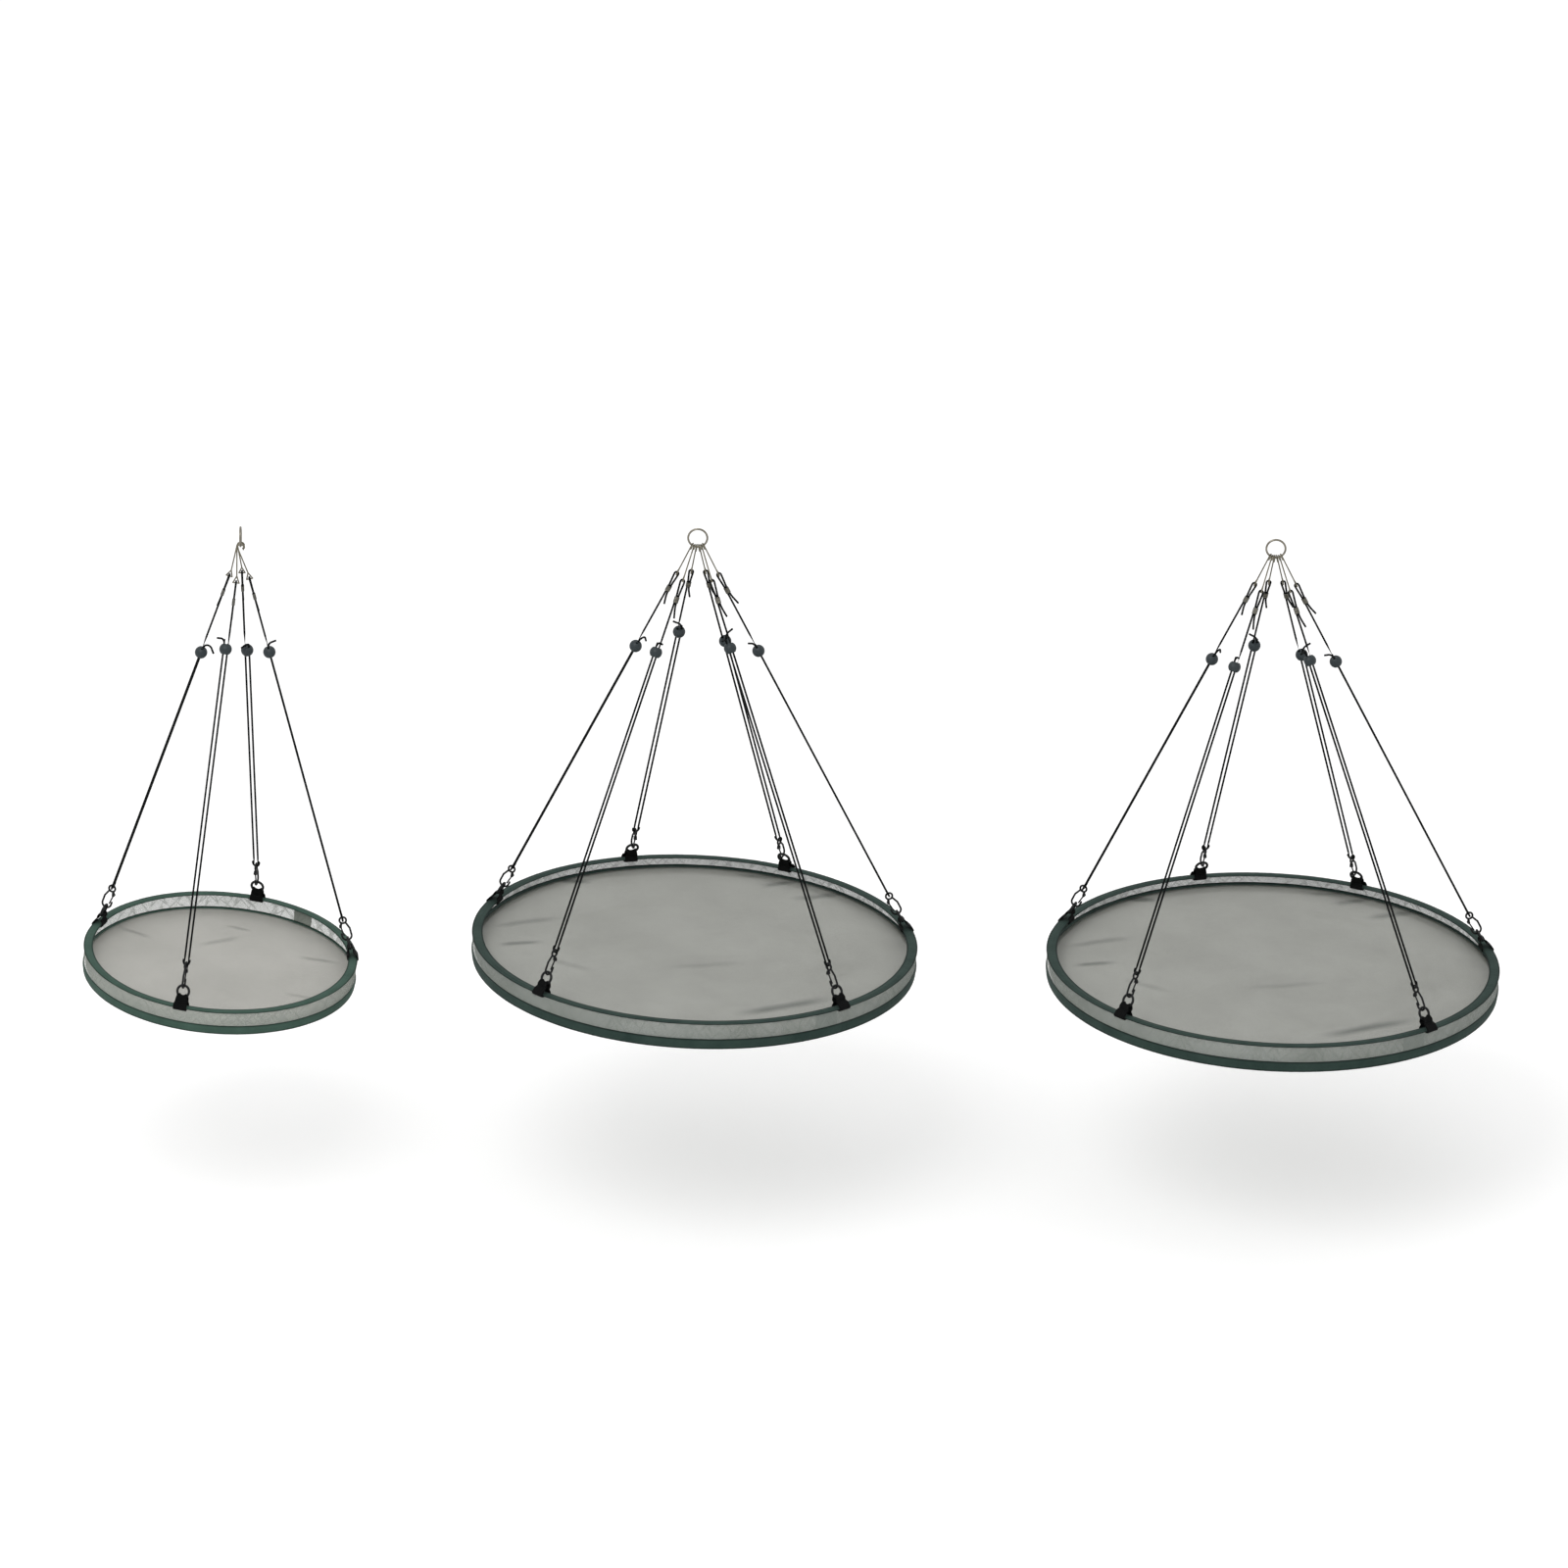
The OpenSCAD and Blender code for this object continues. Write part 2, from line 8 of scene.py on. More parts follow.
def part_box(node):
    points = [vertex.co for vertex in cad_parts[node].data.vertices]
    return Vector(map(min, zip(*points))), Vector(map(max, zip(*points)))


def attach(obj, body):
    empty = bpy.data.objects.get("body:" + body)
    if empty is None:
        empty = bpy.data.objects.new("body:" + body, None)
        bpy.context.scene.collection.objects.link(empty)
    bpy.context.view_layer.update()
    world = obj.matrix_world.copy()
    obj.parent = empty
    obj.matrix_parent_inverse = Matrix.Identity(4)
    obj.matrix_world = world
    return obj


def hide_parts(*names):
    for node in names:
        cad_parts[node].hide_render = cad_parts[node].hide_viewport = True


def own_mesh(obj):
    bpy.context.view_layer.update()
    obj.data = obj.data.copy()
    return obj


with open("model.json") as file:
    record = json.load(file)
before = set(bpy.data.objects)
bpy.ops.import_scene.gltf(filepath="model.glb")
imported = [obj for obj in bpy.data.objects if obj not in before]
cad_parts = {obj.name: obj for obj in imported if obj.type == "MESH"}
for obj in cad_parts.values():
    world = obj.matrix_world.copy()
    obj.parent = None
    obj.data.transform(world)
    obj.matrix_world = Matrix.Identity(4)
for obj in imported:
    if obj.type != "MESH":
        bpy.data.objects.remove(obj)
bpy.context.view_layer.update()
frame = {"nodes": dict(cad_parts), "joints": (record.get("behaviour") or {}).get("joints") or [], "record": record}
joints = {j["name"]: j for j in frame["joints"]}
ringCentres = {m["name"].split("_")[0]: Vector(m["pos_m"]) for m in frame["record"]["mounts"]}
print("frame loaded:", len(frame["nodes"]), "nodes")

mm = 0.001
everyTray = ("small", "medium", "large")

# lengths in millimetres; on a cord they count from the middle of the rim upwards
sixTurns = (13, 65, 108, 158, 226, 312)
cordRig = {
    "turns": {"small": (159, 76, 5, 255), "medium": sixTurns, "large": sixTurns},
    "thick": 3.0, "sides": 12,
    "legX": 3.1,          # half the distance between the two bores of a lock
    "turnUp": 66.0,       # top of the snap hook's eye
    "eyeSpread": 5.4,     # half the width of the cord beside the eye
    "bightX": 4.2, "bightZ": 3.1,   # half the width and the depth of its bend round the eye
    "pairX": 1.45,        # half the distance between the two strands in a ferrule
    "ringR": 14,
    "ringFaces": {"small": 90, "medium": 0, "large": 0},  # the way that each hanging ring is turned
    "fanStep": 14,        # degrees between two hooks on a ring
    "loopZ": -54.6, "loopR": 3.0, "neckZ": -77.6, "joinZ": -87.7,  # from where the hook hangs
    "tail": 22,           # free end under a ferrule
    "lockTail": 19, "lockHigh": 14.5,
    "belowLock": 1.5,     # straight strand left under a lock at its lowest
    "droops": {"small": 0, "medium": 3, "large": 3},  # the cord whose free end hangs over the lock
    "curls": {"small": (90, 60, 300, 150), "medium": (30, 250, 320, 160, 100, 210),
              "large": (40, 240, 310, 170, 110, 200)},
    "curlR": 7, "curlTurn": 104, "droopTurn": 150, "tailTurn": 100,
}


# small helpers

def hexColour(code):
    parts = [int(code[i:i + 2], 16) / 255 for i in (0, 2, 4)]
    return tuple(c / 12.92 if c <= 0.04045 else ((c + 0.055) / 1.055) ** 2.4 for c in parts) + (1.0,)


def unit(v):
    return Vector(v).normalized()


def squareTo(v, z):
    return (Vector(v) - z * z.dot(Vector(v))).normalized()


def addObject(name, data):
    obj = bpy.data.objects.new(name, data)
    bpy.context.scene.collection.objects.link(obj)
    return obj


def gridPiece(name, points, along, across, closeAlong=True):
    # points[i, j]: i runs along the piece, j runs round its closed section
    # along and across are the UV values, each with one more than there are points
    rows, cols = points.shape[:2]
    i, j = np.meshgrid(np.arange(rows if closeAlong else rows - 1), np.arange(cols), indexing="ij")
    i, j = i.ravel(), j.ravel()
    nextI, nextJ = (i + 1) % rows, (j + 1) % cols
    quads = np.stack([i * cols + j, nextI * cols + j, nextI * cols + nextJ, i * cols + nextJ], 1)
    uvs = np.stack([np.stack([along[i], across[j]], 1), np.stack([along[i + 1], across[j]], 1),
                    np.stack([along[i + 1], across[j + 1]], 1), np.stack([along[i], across[j + 1]], 1)], 1)
    faces = quads.tolist()
    uvs = uvs.reshape(-1, 2)
    if not closeAlong:  # a flat cap at each end
        faces += [list(range(cols))[::-1], list(range((rows - 1) * cols, rows * cols))]
        uvs = np.vstack([uvs, np.zeros((2 * cols, 2))])
    return meshPiece(name, points.reshape(-1, 3), faces, uvs)


def meshPiece(name, points, faces, uvs=None):
    mesh = bpy.data.meshes.new(name)
    mesh.from_pydata([tuple(p) for p in points], [], faces)
    if uvs is not None:
        mesh.uv_layers.new(name="UVMap").data.foreach_set("uv", np.asarray(uvs, np.float32).ravel())
    mesh.shade_smooth()
    faceOutwards(mesh)
    return addObject(name, mesh)


def faceOutwards(mesh):
    co = np.array([v.co for v in mesh.vertices])
    co = co - co.mean(0)
    mesh.calc_loop_triangles()
    tri = np.array([t.vertices for t in mesh.loop_triangles])
    volume = np.einsum("ij,ij->i", co[tri[:, 0]], np.cross(co[tri[:, 1]], co[tri[:, 2]])).sum()
    if volume < 0:
        mesh.flip_normals()


def setMaterial(obj, material):
    obj.data.materials.clear()
    obj.data.materials.append(material)


def clamp(value):
    return min(1, max(0, value))


def wander(x, y=0.0, z=0.0):
    return noise.noise((x, y, z))


# where each tray and cord lies, read from the frame

def nodeSpots(node):
    return np.array([v.co for v in frame["nodes"][node].data.vertices])


def readTray(size):
    up = unit(joints[size + "_collapse"]["axis"])
    right = unit(Vector((0, 1, 0)).cross(up))
    tray = {"size": size, "up": up, "right": right, "back": up.cross(right)}
    tray["rimAt"] = sum(map(Vector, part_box(size + "_rim_hoop")), Vector()) / 2
    tray["baseAt"] = sum(map(Vector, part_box(size + "_base_hoop")), Vector()) / 2
    floor = nodeSpots(size + "_net_floor")
    normal = Vector(np.linalg.svd(floor - floor.mean(0), full_matrices=False)[2][2])
    tray["baseUp"] = normal * (1 if normal.z > 0 else -1)
    tray["floorAt"] = Vector(floor.mean(0))
    tray["baseBack"] = tray["baseUp"].cross(right)
    hoop = nodeSpots(size + "_base_hoop") - np.array(tray["baseAt"])
    flat = hoop - np.outer(hoop @ np.array(tray["baseUp"]), np.array(tray["baseUp"]))
    tray["outerR"] = float(np.linalg.norm(flat, axis=1).max())
    tray["wide"] = sleeves[size]["wide"]
    tray["flatHalf"] = (tray["wide"] - sleeves["thick"]) / 2
    tray["lean"] = math.radians(sleeves["lean"])
    tray["wallR"] = tray["outerR"] - sleeves["thick"] / 2 * mm
    tray["rimR"] = tray["wallR"] - tray["flatHalf"] * mm * math.sin(tray["lean"])
    tray["cords"] = readCords(tray)
    return tray


def readCords(tray):
    size, ring = tray["size"], ringCentres[tray["size"]]
    turns = cordRig["turns"][size]
    faces = math.radians(cordRig["ringFaces"][size])
    level, plumb = Vector((math.cos(faces), math.sin(faces), 0)), Vector((0, 0, 1))
    sides = [math.cos(math.radians(a) - faces) for a in turns]
    cords = []
    for i, turn in enumerate(turns):
        a = math.radians(turn)
        place = sum(s < sides[i] for s in sides) - (len(turns) - 1) / 2  # from left to right on the ring
        fan = math.radians(place * cordRig["fanStep"])
        rim = tray["rimAt"] + tray["rimR"] * (math.cos(a) * tray["right"] + math.sin(a) * tray["back"])
        hook = ring + (math.sin(fan) * level - math.cos(fan) * plumb) * cordRig["ringR"] * mm
        z = unit(joints[f"{size}_lock_{i + 1}_slide"]["axis"])
        x = -unit(joints[f"{size}_gate_{i + 1}_turn"]["axis"])
        hookX = squareTo(math.cos(fan) * level + math.sin(fan) * plumb, z)
        along = -math.sin(a) * tray["right"] + math.cos(a) * tray["back"]
        tabY = unit(z.cross(along))
        low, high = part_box(f"{size}_cord_lock_{i + 1}")
        cords.append({"rim": rim, "hook": hook, "x": x, "y": z.cross(x), "z": z, "hookX": hookX, "turn": turn,
                      "lock": (low + high) / 2, "tabX": along, "tabY": tabY, "tabZ": along.cross(tabY)})
    return cords


# material nodes

class Shader:
    # a short way to write a node tree: each call adds one node and gives its first output
    def __init__(self, name):
        self.material = bpy.data.materials.new(name)
        self.material.use_nodes = True
        self.tree = self.material.node_tree
        self.bsdf = self.tree.nodes["Principled BSDF"]

    def node(self, kind, *inputs, out=0, **settings):
        node = self.tree.nodes.new(kind)
        for key, value in settings.items():
            if key in node.inputs and not hasattr(node, key):
                node.inputs[key].default_value = value
            else:
                setattr(node, key, value)
        for i, value in enumerate(inputs):
            if value is not None:
                self.feed(node.inputs[i], value)
        return node.outputs[out]

    def feed(self, socket, value):
        if isinstance(value, bpy.types.NodeSocket):
            self.tree.links.new(value, socket)
        else:
            socket.default_value = value

    def math(self, operation, a, b=0.0):
        return self.node("ShaderNodeMath", a, b, operation=operation)

    def times(self, a, b):
        return self.math("MULTIPLY", a, b)

    def plus(self, a, b):
        return self.math("ADD", a, b)

    def minus(self, a, b):
        return self.math("SUBTRACT", a, b)

    def mix(self, factor, a, b):
        node = self.tree.nodes.new("ShaderNodeMix")
        node.data_type = "RGBA"
        for i, value in ((0, factor), (6, a), (7, b)):
            self.feed(node.inputs[i], value)
        return node.outputs[2]

    def noise(self, vector, scale, detail=3.0, rough=0.5):
        node = self.tree.nodes.new("ShaderNodeTexNoise")
        self.feed(node.inputs["Vector"], vector)
        node.inputs["Scale"].default_value = scale
        node.inputs["Detail"].default_value = detail
        node.inputs["Roughness"].default_value = rough
        return node.outputs[0]

    def remap(self, value, low, high, toLow=0.0, toHigh=1.0, smooth=False):
        node = self.tree.nodes.new("ShaderNodeMapRange")
        node.interpolation_type = "SMOOTHSTEP" if smooth else "LINEAR"
        for i, v in enumerate((value, low, high, toLow, toHigh)):
            self.feed(node.inputs[i], v)
        return node.outputs[0]

    def place(self, which="Object"):
        return self.node("ShaderNodeTexCoord", out=which)

    def split(self, vector):
        node = self.tree.nodes.new("ShaderNodeSeparateXYZ")
        self.feed(node.inputs[0], vector)
        return node.outputs

    def join(self, x, y, z=0.0):
        return self.node("ShaderNodeCombineXYZ", x, y, z)

    def wave(self, value, pitch):
        return self.math("SINE", self.times(value, 2 * math.pi / pitch))

    def bump(self, height, distance, strength=1.0):
        node = self.tree.nodes.new("ShaderNodeBump")
        node.inputs["Strength"].default_value = strength
        node.inputs["Distance"].default_value = distance
        self.feed(node.inputs["Height"], height)
        self.feed(self.bsdf.inputs["Normal"], node.outputs[0])

    def set(self, **values):
        for key, value in values.items():
            self.feed(self.bsdf.inputs[key.replace("_", " ")], value)
        return self.material


def sleeveMaterial(name, girth, colour, edge, worn):
    s = Shader(name)
    x, y, _ = s.split(s.place("UV"))
    place = s.place()
    # plain oxford weave, two threads over two
    weave = s.times(s.wave(x, 0.9 * mm), s.wave(y, 0.9 * mm))
    fibre = s.noise(s.join(s.times(x, 0.35), y), 5200, 2)
    toEdge = s.math("ABSOLUTE", s.math("COSINE", s.times(y, 2 * math.pi / girth)))
    seam = s.remap(toEdge, 0.80, 0.93, smooth=True)
    hem = s.remap(s.math("ABSOLUTE", s.minus(toEdge, 0.76)), 0.0, 0.05, 1.0, 0.0, smooth=True)
    blotch = s.noise(place, 26, 5, 0.6)
    base = s.mix(s.remap(blotch, 0.3, 0.7), colour, worn)
    base = s.mix(s.times(s.math("MAXIMUM", seam, hem), 0.75), base, edge)
    base = s.mix(s.remap(weave, -1, 1, 0.0, 0.28), base, edge)
    puckers = s.noise(s.join(x, s.times(y, 0.4)), 190, 3)
    height = s.plus(s.times(weave, 0.10),
                    s.plus(s.times(fibre, 0.16),
                           s.minus(s.times(puckers, 1.7), s.times(hem, 0.8))))
    s.bump(height, 0.00042)
    return s.set(Base_Color=base, Roughness=s.remap(fibre, 0.3, 0.7, 0.68, 0.86), Sheen_Weight=0.04,
                 Sheen_Roughness=0.5, Specular_IOR_Level=0.12)


def netMaterial(name, look, kind, radius):
    # fine knitted net: two slanting sets of threads with a knot where they cross, clear in between
    s, pitch, share = Shader(name), nets["pitch"], look[kind + "Share"]
    thread, shade = (hexColour(c) for c in look[kind])
    x, y, _ = s.split(s.place("UV"))
    flat = s.join(x, y)
    drift = s.times(s.noise(flat, 34, 2), 0.9 * mm)
    left = s.plus(s.plus(s.times(x, 0.8), s.times(y, 0.6)), drift)
    right = s.minus(s.minus(s.times(x, 0.6), s.times(y, 0.8)), drift)

    inner, outer = ((share + way * nets["soften"]) * pitch / 2 for way in (-1, 1))

    def strand(value):
        return s.remap(s.math("PINGPONG", value, pitch / 2), inner, outer, 1.0, nets[kind + "Clear"])
    one, two = strand(left), strand(right)
    cover = s.math("MAXIMUM", one, two)
    dust = s.noise(flat, 7, 5, 0.6)
    base = s.mix(s.remap(dust, 0.32, 0.68), thread, shade)
    height = s.times(s.plus(one, two), 0.12)
    if kind == "floor":
        # painted shade: the floor is darkened along its creases, besides their bump
        folds = [creaseMask(s, flat, *crease, radius) for crease in look["creases"]]
        shadeAndLap = folds[0]
        for fold in folds[1:]:
            shadeAndLap = s.math("MAXIMUM", shadeAndLap, fold)
        cloud = s.noise(flat, 20, 3, 0.5)
        height = s.plus(height, s.plus(s.times(cloud, 3.0), s.times(shadeAndLap, 3.5)))
    else:
        # slack creases that cross each other, darkened with painted shade, and the doubled end of the strip, made
        # denser and darker
        start, end = (math.radians(a) * radius for a in look["lap"])
        edge = 0.3 * mm
        doubled = s.times(s.remap(x, start - edge, start + edge), s.remap(x, end + edge, end - edge))
        cover = s.math("MAXIMUM", cover, s.times(doubled, 0.96))
        slack = [s.noise(s.join(s.plus(x, s.times(y, k)), s.times(y, 0.3)), 42, 2, 0.5)
                 for k in (0.9, -0.8)]
        ridge = s.math("MINIMUM", *(s.math("ABSOLUTE", s.minus(n, 0.5)) for n in slack))
        crease = s.remap(ridge, 0.0, 0.035, 1.0, 0.0, smooth=True)
        cover = s.plus(cover, s.times(crease, 0.22))
        # painted shade in the wall's creases, together with the darker doubled lap
        shadeAndLap = s.math("MAXIMUM", s.times(crease, 0.3), doubled)
        height = s.minus(height, s.times(crease, 1.0))
    # painted shade: the creases, and on the wall also the doubled lap, are mixed towards the 'fold' colour
    base = s.mix(s.times(shadeAndLap, look[kind + "ShadeAndLap"]), base, hexColour(look["fold"]))
    s.bump(height, 0.0006)
    return s.set(Base_Color=base, Alpha=cover, Roughness=0.7, Specular_IOR_Level=0.2)


def creaseMask(s, flat, fromX, fromY, toX, toY, wide, deep, radius):
    # a soft line of painted crease shade between two spots, given as shares of the floor's radius; the floor also
    # takes it as a bump
    longWay = Vector((toX - fromX, toY - fromY, 0)) * radius
    way = longWay.normalized()
    here = s.node("ShaderNodeVectorMath", flat, (fromX * radius, fromY * radius, 0), operation="SUBTRACT")
    along = s.node("ShaderNodeVectorMath", here, tuple(way), operation="DOT_PRODUCT", out="Value")
    off = s.node("ShaderNodeVectorMath", here, (-way.y, way.x, 0), operation="DOT_PRODUCT", out="Value")
    bow = s.times(s.minus(s.noise(flat, 16, 1), 0.5), 9 * mm)
    off = s.math("ABSOLUTE", s.plus(off, bow))
    ends = s.times(s.remap(along, 0, longWay.length * 0.35, smooth=True),
                  s.remap(along, longWay.length, longWay.length * 0.6, smooth=True))
    return s.times(s.times(s.remap(off, 0, wide * mm, 1.0, 0.0, smooth=True), ends), deep)


def cordMaterial(name, colour, fleck):
    s = Shader(name)
    x, y, _ = s.split(s.place("UV"))
    turn = s.times(y, 2 * math.pi * 4)
    run = s.times(x, 2 * math.pi / (2.6 * mm))
    left = s.math("SINE", s.plus(run, turn))
    right = s.math("SINE", s.minus(run, turn))
    plait = s.math("MAXIMUM", left, right)
    fibre = s.noise(s.join(s.times(x, 0.4), s.times(y, 8 * mm)), 3600, 2)
    base = s.mix(s.remap(s.times(plait, fibre), 0.1, 0.6), colour, fleck)
    s.bump(s.plus(plait, s.times(fibre, 0.5)), 0.00028)
    return s.set(Base_Color=base, Roughness=s.remap(fibre, 0.3, 0.7, 0.6, 0.8), Specular_IOR_Level=0.1)


def webbingMaterial(name, colour, light):
    s = Shader(name)
    x, y, _ = s.split(s.place("UV"))
    rib = s.wave(y, 1.05 * mm)
    over = s.wave(s.plus(x, s.times(s.math("SIGN", rib), 0.35 * mm)), 1.4 * mm)
    weave = s.times(s.math("ABSOLUTE", rib), s.remap(over, -1, 1, 0.55, 1.0))
    fibre = s.noise(s.join(s.times(x, 0.3), y), 4200, 2)
    base = s.mix(s.remap(s.times(weave, fibre), 0.15, 0.65), colour, light)
    s.bump(s.plus(weave, s.times(fibre, 0.35)), 0.0003)
    return s.set(Base_Color=base, Roughness=s.remap(fibre, 0.3, 0.7, 0.6, 0.8), Specular_IOR_Level=0.1)


def coatedMaterial(name, colour, bare):
    # black powder coat with small rubbed spots
    s = Shader(name)
    place = s.place()
    grain = s.noise(place, 2600, 2)
    patch = s.noise(place, 130, 4, 0.6)
    rubbed = s.remap(s.plus(s.times(patch, 0.8), s.times(grain, 0.2)), 0.64, 0.7, smooth=True)
    base = s.mix(s.times(rubbed, 0.55), s.mix(s.remap(patch, 0.3, 0.7), colour, hexColour("121416")), bare)
    s.bump(grain, 0.00006)
    rough = s.minus(s.remap(patch, 0.3, 0.7, 0.34, 0.52), s.times(rubbed, 0.08))
    return s.set(Base_Color=base, Roughness=rough, Specular_IOR_Level=0.28)


def nickelMaterial(name, colour, dull, low, high):
    s = Shader(name)
    place = s.place()
    cloud = s.noise(place, 90, 4, 0.6)
    line = s.noise(place, 1900, 3, 0.7)
    base = s.mix(s.remap(cloud, 0.35, 0.7), colour, dull)
    rough = s.remap(s.plus(s.times(cloud, 0.6), s.times(line, 0.4)), 0.3, 0.7, low, high)
    s.bump(line, 0.00004)
    return s.set(Base_Color=base, Metallic=1.0, Roughness=rough)


def plasticMaterial(name, colour, light):
    s = Shader(name)
    place = s.place()
    grain = s.noise(place, 1500, 2)
    scuff = s.noise(place, 160, 5, 0.65)
    base = s.mix(s.remap(scuff, 0.42, 0.72, 0.0, 0.5), colour, light)
    s.bump(grain, 0.00008)
    return s.set(Base_Color=base, Roughness=s.remap(scuff, 0.3, 0.7, 0.4, 0.56), Specular_IOR_Level=0.45)


def threadMaterial(name, colour, light):
    s = Shader(name)
    twist = s.noise(s.place(), 3000, 2)
    base = s.mix(s.remap(twist, 0.35, 0.65), colour, light)
    s.bump(twist, 0.0001)
    return s.set(Base_Color=base, Roughness=0.7, Specular_IOR_Level=0.15)


# geometry node tools

def newTree(name, inputs):
    # a modifier's node tree with named inputs; gives the tree and its input node
    tree = bpy.data.node_groups.new(name, "GeometryNodeTree")
    tree.interface.new_socket("Geometry", in_out="INPUT", socket_type="NodeSocketGeometry")
    tree.interface.new_socket("Geometry", in_out="OUTPUT", socket_type="NodeSocketGeometry")
    for label, kind, value in inputs:
        socket = tree.interface.new_socket(label, in_out="INPUT", socket_type=kind)
        if value is not None:
            socket.default_value = value
    return tree, tree.nodes.new("NodeGroupInput")


def geoNode(tree, kind, links=(), **settings):
    node = tree.nodes.new(kind)
    for key, value in settings.items():
        setattr(node, key, value)
    for socket, value in dict(links).items():
        target = node.inputs[socket]
        if isinstance(value, bpy.types.NodeSocket):
            tree.links.new(value, target)
        else:
            target.default_value = value
    return node


def bake(obj, tree, values, name):
    # runs the tree on obj and gives its result as a plain mesh object
    modifier = obj.modifiers.new("Nodes", "NODES")
    modifier.node_group = tree
    sockets = {item.name: item.identifier for item in tree.interface.items_tree
               if item.item_type == "SOCKET" and item.in_out == "INPUT"}
    for label, value in values.items():
        modifier[sockets[label]] = value
    made = obj.evaluated_get(bpy.context.evaluated_depsgraph_get())
    mesh = bpy.data.meshes.new_from_object(made)
    obj.modifiers.remove(modifier)
    bpy.data.objects.remove(obj)
    return addObject(name, mesh)


def polyCurve(name, lines, closed):
    curve = bpy.data.curves.new(name, "CURVE")
    curve.dimensions = "3D"
    for points in lines:
        spline = curve.splines.new("POLY")
        spline.points.add(len(points) - 1)
        spline.points.foreach_set("co", np.hstack([np.asarray(points), np.ones((len(points), 1))]).ravel())
        spline.use_cyclic_u = closed
    return addObject(name, curve)


def endTree(tree, shape, material):
    # every tree ends in plain geometry with its material
    real = geoNode(tree, "GeometryNodeRealizeInstances", {"Geometry": shape.outputs[0]})
    finish = geoNode(tree, "GeometryNodeSetMaterial", {"Geometry": real.outputs[0], "Material": material})
    tree.links.new(finish.outputs[0], tree.nodes.new("NodeGroupOutput").inputs[0])
    return tree


hemStitch = {"Pitch": 3.4 * mm, "Length": 2.6 * mm, "Thread": 0.5 * mm}
tackStitch = {"Pitch": 0.85 * mm, "Length": 1.25 * mm, "Thread": 0.42 * mm}


def stitchTree():
    # short thread capsules at an even pitch along each curve
    sizes = [(label, "NodeSocketFloat", value) for label, value in hemStitch.items()]
    tree, source = newTree("Stitches", sizes + [("Material", "NodeSocketMaterial", None)])
    given = source.outputs
    points = geoNode(tree, "GeometryNodeCurveToPoints",
                     {"Curve": given["Geometry"], "Length": given["Pitch"]}, mode="LENGTH")
    ball = geoNode(tree, "GeometryNodeMeshIcoSphere", {"Radius": 0.5, "Subdivisions": 1})
    size = geoNode(tree, "ShaderNodeCombineXYZ", {0: given["Thread"], 1: given["Thread"], 2: given["Length"]})
    placed = geoNode(tree, "GeometryNodeInstanceOnPoints", {
        "Points": points.outputs["Points"], "Instance": ball.outputs["Mesh"],
        "Rotation": points.outputs["Rotation"], "Scale": size.outputs[0]})
    return endTree(tree, placed, given["Material"])


def sweepTree():
    # a round cord along each curve, with UV in metres along it and in turns round it
    tree, source = newTree("Cord sweep", [
        ("Radius", "NodeSocketFloat", cordRig["thick"] / 2 * mm),
        ("Sides", "NodeSocketInt", cordRig["sides"]),
        ("Material", "NodeSocketMaterial", None)])
    given = source.outputs
    ring = geoNode(tree, "GeometryNodeCurvePrimitiveCircle",
                   {"Resolution": given["Sides"], "Radius": given["Radius"]}, mode="RADIUS")
    param = geoNode(tree, "GeometryNodeSplineParameter")
    alongLine = geoNode(tree, "GeometryNodeCaptureAttribute", {"Geometry": given["Geometry"]}, domain="POINT")
    alongLine.capture_items.new("FLOAT", "Along")
    tree.links.new(param.outputs["Length"], alongLine.inputs["Along"])
    roundRing = geoNode(tree, "GeometryNodeCaptureAttribute", {"Geometry": ring.outputs[0]}, domain="POINT")
    roundRing.capture_items.new("FLOAT", "Turn")
    tree.links.new(param.outputs["Factor"], roundRing.inputs["Turn"])
    tube = geoNode(tree, "GeometryNodeCurveToMesh", {
        "Curve": alongLine.outputs[0], "Profile Curve": roundRing.outputs[0], "Fill Caps": True})
    uv = geoNode(tree, "ShaderNodeCombineXYZ", {0: alongLine.outputs["Along"], 1: roundRing.outputs["Turn"]})
    stored = geoNode(tree, "GeometryNodeStoreNamedAttribute",
                     {"Geometry": tube.outputs[0], "Name": "UVMap", "Value": uv.outputs[0]},
                     data_type="FLOAT2", domain="CORNER")
    return endTree(tree, stored, given["Material"])


def joinTurns(mesh):
    # where the sweep's UV wraps from one turn to the next, the low side moves up by a whole turn
    layer = mesh.uv_layers["UVMap"].data
    uv = np.zeros(len(layer) * 2, np.float32)
    layer.foreach_get("uv", uv)
    uv = uv.reshape(-1, 2)
    for face in mesh.polygons:
        own = uv[face.loop_start:face.loop_start + face.loop_total]
        if len(own) == 4 and own[:, 1].max() - own[:, 1].min() > 0.5:
            own[own[:, 1] < 0.5, 1] += 1
    layer.foreach_set("uv", uv.ravel())


# sleeves round the hoops

darkGreen = {"wide": 16.0, "colour": "2a3c37", "edge": "0f1715", "worn": "374943"}
sleeves = {
    "thick": 3.4, "lean": 90,
    "hem": 1.45,                    # from a stitch row to the sleeve's edge
    "edgeThick": 0.42, "bulge": 0.95, "wireSpread": 2.0,   # half thicknesses at the edge and over the wire
    "mostHalf": 1.68,
    "turnover": 2.6,                # what the girth gains at the two edges
    "edgeAt": 0.99, "edgeWander": 0.014, "shift": 0.07, "ripple": (0.16, 0.22), "fullness": 0.10,
    "steps": 720, "section": 24, "stitchSteps": 540,
    "small": {"wide": 14.0, "colour": "3d554b", "edge": "18241f", "worn": "486257"},
    "medium": darkGreen,
    "large": darkGreen,
}


def sleeveHalf(u):
    # half thickness at u millimetres from the middle, fuller over the wire
    return sleeves["edgeThick"] + sleeves["bulge"] * np.exp(-(u / sleeves["wireSpread"]) ** 2)


def girthOf(tray):
    return (2 * tray["wide"] + sleeves["turnover"]) * mm


